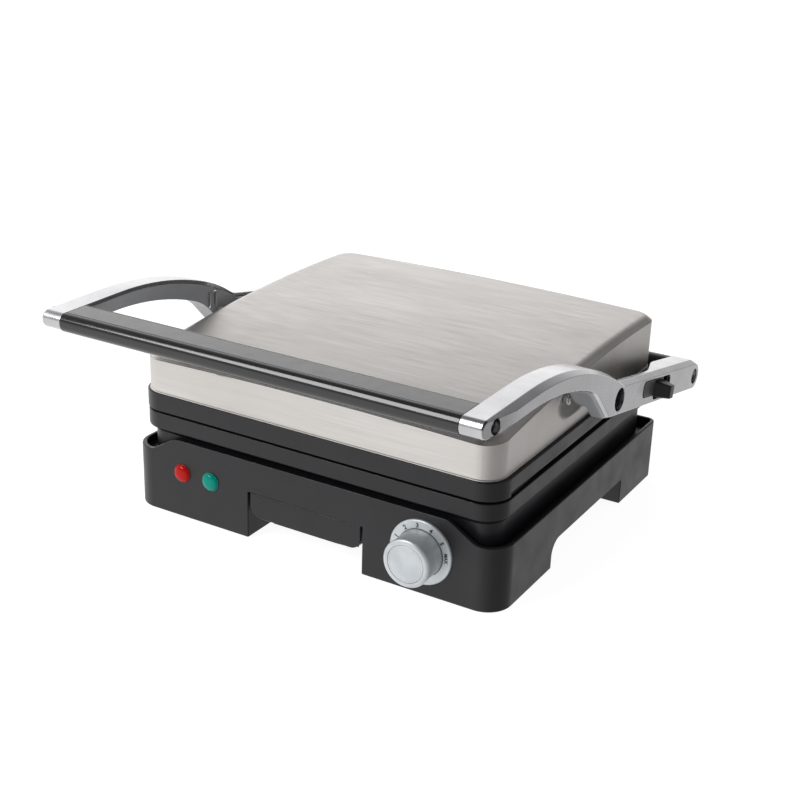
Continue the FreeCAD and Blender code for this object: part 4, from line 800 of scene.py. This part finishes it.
    def pins(self) -> None:
        """Stepped bright pins that the head swings on."""
        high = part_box("pivot_pins")[1]
        y, z = self.pivot
        reach = high.x / MM - MIDDLE_X
        inner = 145.0
        seat = 149.2
        collar, tip = seat - inner, reach - inner
        profile = [(0, 0), (5.6, 0), (6, 0.4), (6, 2.4), (5.6, 2.8), (4, 2.8), (4, collar), (5.5, collar),
                   (6, collar + 0.5), (6, collar + 3.1), (5.6, collar + 3.6), (4.9, collar + 3.6),
                   (4.9, collar + 4.6), (4.2, collar + 5.2), (4, collar + 5.4), (4, tip - 0.5), (3.6, tip),
                   (0, tip)]
        right = lathe(profile, Vector((MIDDLE_X + inner, y, z)) * MM, Along.RIGHT, 40)
        left = lathe(profile, Vector((MIDDLE_X - inner, y, z)) * MM, Along.LEFT, 40)
        self.dress(finished(joined(right, left), "pivot_pins_turned"), ZINC, ["pivot_pins"])


@dataclass
class Lid(Assembly):
    """The two arms with their linings, the handle between them and the release slide."""

    clip_at: tuple[float, float, float] = (164.1, -21.5, 145.0)
    clip_w: float = 8.7
    clip_h: float = 13.5
    clip_band: float = 1.9
    clip_t: float = 1.9
    body: str = "lid"

    def build(self) -> None:
        """Eases the arms and the handle, and adds the spring clips inside the arms."""
        for side in ("right", "left"):
            self.ease(side + "_arm_casting", CASTING, 0.45, 18.0)
            self.ease(side + "_arm_liner", LINER, 0.35)
        self.ease("handle_grip", GLOSS, 0.3)
        # the insert's flat top takes the handle black painted a shade lighter: painted light from above
        self.ease("handle_insert", TOPLIT_BLACK, 0.25)
        self.ease("handle_screws", ZINC, 0.25)
        self.ease("knuckle_screws", ZINC, 0.25)
        self.ease("release_lever", SLIDE, 0.5)
        self.keep(ZINC, "handle_core")
        self.keep(NYLON, "pivot_bushes")
        self.clips()

    def clips(self) -> None:
        """Bent strips that hold the linings, one inside each arm."""
        x, y, z = self.clip_at
        parts = []
        for side in (-1, 1):
            bm = bmesh.new()
            bmesh.ops.create_grid(bm, x_segments=1, y_segments=1, size=0.5)
            bmesh.ops.scale(bm, vec=(self.clip_w, self.clip_h, 1), verts=bm.verts)
            face = bm.faces[:][0]
            bmesh.ops.inset_individual(bm, faces=[face], thickness=self.clip_band)
            gap = face
            low = min((f for f in bm.faces if f is not gap), key=lambda f: f.calc_center_median().y)
            bmesh.ops.delete(bm, geom=[gap, low], context="FACES")
            grown = bmesh.ops.extrude_face_region(bm, geom=bm.faces[:])
            lifted = [v for v in grown["geom"] if isinstance(v, bmesh.types.BMVert)]
            bmesh.ops.translate(bm, vec=(0, 0, self.clip_t), verts=lifted)
            bmesh.ops.recalc_face_normals(bm, faces=bm.faces)
            bmesh.ops.bevel(bm, geom=bm.edges[:], offset=0.3, offset_type="OFFSET", segments=2, profile=0.5,
                            affect="EDGES", material=-1)
            spot = Matrix(((0, 0, -side, MIDDLE_X + side * x), (1, 0, 0, y), (0, 1, 0, z), (0, 0, 0, 1)))
            bmesh.ops.transform(bm, matrix=Matrix.Scale(MM, 4) @ spot, verts=bm.verts)
            bmesh.ops.recalc_face_normals(bm, faces=bm.faces)
            parts.append(bm)
        self.dress(finished(joined(*parts), "lining_clips"), ZINC)


@dataclass
class Studio:
    """White table and backdrop, soft lights and the camera."""

    azimuth: float = 30.07
    elevation: float = 22.41
    roll: float = 1.894
    place: tuple[float, float, float] = (0.53292, -0.91686, 0.52448)
    lens: float = 64.378
    sweep_r: float = 5.0
    bend_r: float = 1.5
    wall_h: float = 4.0
    low_levels: tuple[float, float] = (1.3, 0.4)
    high_levels: tuple[float, float] = (1.75, 0.3)
    lights: tuple[tuple[str, tuple[float, float, float], float, float, float], ...] = (
        ("front_softbox", (-0.85, -1.35, 1.55), 1.0, 1.3, 37.0),)

    def build(self) -> None:
        """Sets the table, the sky, the lights and the camera."""
        self.table()
        self.sky()
        for light in self.lights:
            self.softbox(*light)
        self.camera()
        view = bpy.context.scene.view_settings
        view.view_transform = "Standard"
        view.look = "None"

    def table(self) -> None:
        """White paper sweep, flat under the press and turned up all round; metal mirrors the sky alone."""
        bend = [(self.sweep_r + self.bend_r * math.sin(math.radians(a)),
                 self.bend_r * (1 - math.cos(math.radians(a)))) for a in range(0, 91, 15)]
        profile = [(0, 0), *bend, (self.sweep_r + self.bend_r, self.wall_h)]
        sweep = lathe([(r / MM, h / MM) for r, h in profile], Vector(), Along.UP, 64)
        floor = finished(sweep, "studio_sweep", 60)
        for polygon in floor.data.polygons:
            polygon.flip()
        surface = Surface("studio_white_paper")
        surface.fix(Roughness=0.9, Specular_IOR_Level=0.1, Emission_Strength=0.92,
                    Emission_Color=(1, 1, 1, 1))
        surface.tint(surface.grain(400, detail=1), "#8c8c8c", "#909090")
        floor.data.materials.append(surface.material)
        floor.visible_glossy = False

    def sky(self) -> None:
        """What the metal mirrors: white at the rear left, dim to the right and front, dark overhead."""
        world = bpy.data.worlds.new("studio_surround")
        bpy.context.scene.world = world
        world.use_nodes = True
        tree = world.node_tree
        ways = add_node(tree, "ShaderNodeTexCoord").outputs["Generated"]
        aim = add_node(tree, "ShaderNodeSeparateXYZ", inputs={"Vector": ways})

        def ramp(value: bpy.types.NodeSocket, ends: tuple[float, float],
                 levels: tuple[float, float]) -> bpy.types.NodeSocket:
            """Runs smoothly from one level to another between two ends of a value."""
            return add_node(tree, "ShaderNodeMapRange", {"interpolation_type": "SMOOTHSTEP"}, {
                "Value": value, "From Min": ends[0], "From Max": ends[1], "To Min": levels[0],
                "To Max": levels[1]}).outputs["Result"]

        below = ramp(aim.outputs["X"], (-0.3, 0.85), self.low_levels)
        right = ramp(aim.outputs["X"], (-0.42, 0.1), self.high_levels)
        front = ramp(aim.outputs["Y"], (-0.6, 0.1), (0.3, 1.0))
        above = add_node(tree, "ShaderNodeMath", {"operation": "MULTIPLY"}, {0: right, 1: front}).outputs[0]
        side = ramp(aim.outputs["Z"], (-0.05, 0.12), (0, 1))
        level = add_node(tree, "ShaderNodeMix", {"data_type": "FLOAT"}, {
            0: side, 2: below, 3: above}).outputs[0]
        ceiling = ramp(aim.outputs["Z"], (0.38, 0.85), (1.0, 0.12))
        both = add_node(tree, "ShaderNodeMath", {"operation": "MULTIPLY"}, {0: level, 1: ceiling}).outputs[0]
        tree.links.new(both, tree.nodes["Background"].inputs["Strength"])
        tree.nodes["Background"].inputs["Color"].default_value = (1, 1, 1, 1)

    def softbox(self, name: str, place: tuple[float, float, float], width: float, height: float,
                power: float) -> None:
        """Hangs a soft rectangular light that faces the press."""
        lamp = bpy.data.lights.new(name, "AREA")
        lamp.shape = "RECTANGLE"
        lamp.size, lamp.size_y, lamp.energy = width, height, power
        holder = bpy.data.objects.new(name, lamp)
        holder.location = place
        holder.rotation_euler = (Vector((0, 0, 0.1)) - Vector(place)).to_track_quat("-Z", "Y").to_euler()
        bpy.context.scene.collection.objects.link(holder)

    def flag(self, piece: bpy.types.Object) -> None:
        """Keeps the softboxes off one piece, as a black flag beside the lamp would."""
        shaded = bpy.data.collections.new("flagged_pieces")
        shaded.objects.link(piece)
        for member in shaded.collection_objects:
            member.light_linking.link_state = "EXCLUDE"
        for name, *_ in self.lights:
            bpy.data.objects[name].light_linking.receiver_collection = shaded

    def camera(self) -> None:
        """Puts the camera where the press is seen from its front right, from above."""
        a, e, r = (math.radians(v) for v in (self.azimuth, self.elevation, self.roll))
        back = Vector((math.sin(a) * math.cos(e), -math.cos(a) * math.cos(e), math.sin(e)))
        level = (-back).cross(Vector((0, 0, 1))).normalized()
        rise = level.cross(-back)
        right = math.cos(r) * level + math.sin(r) * rise
        up = math.cos(r) * rise - math.sin(r) * level
        data = bpy.data.cameras.new("photographer")
        data.lens = self.lens
        camera = bpy.data.objects.new("photographer", data)
        turn = Matrix((right, up, back)).transposed().to_4x4()
        camera.matrix_world = Matrix.Translation(self.place) @ turn
        bpy.context.scene.collection.objects.link(camera)
        bpy.context.scene.camera = camera


def main() -> None:
    """Builds the press, piece by piece, and keeps the softbox off the steel cover."""
    logging.basicConfig(level=logging.INFO, format="%(message)s")
    studio = Studio()
    for assembly in (studio, Base(), Hinge(), DripTray(), Controls(), Head(), Lid()):
        assembly.build()
    studio.flag(bpy.data.objects["steel_cover_pressed"])


if __name__ == "__main__":
    main()
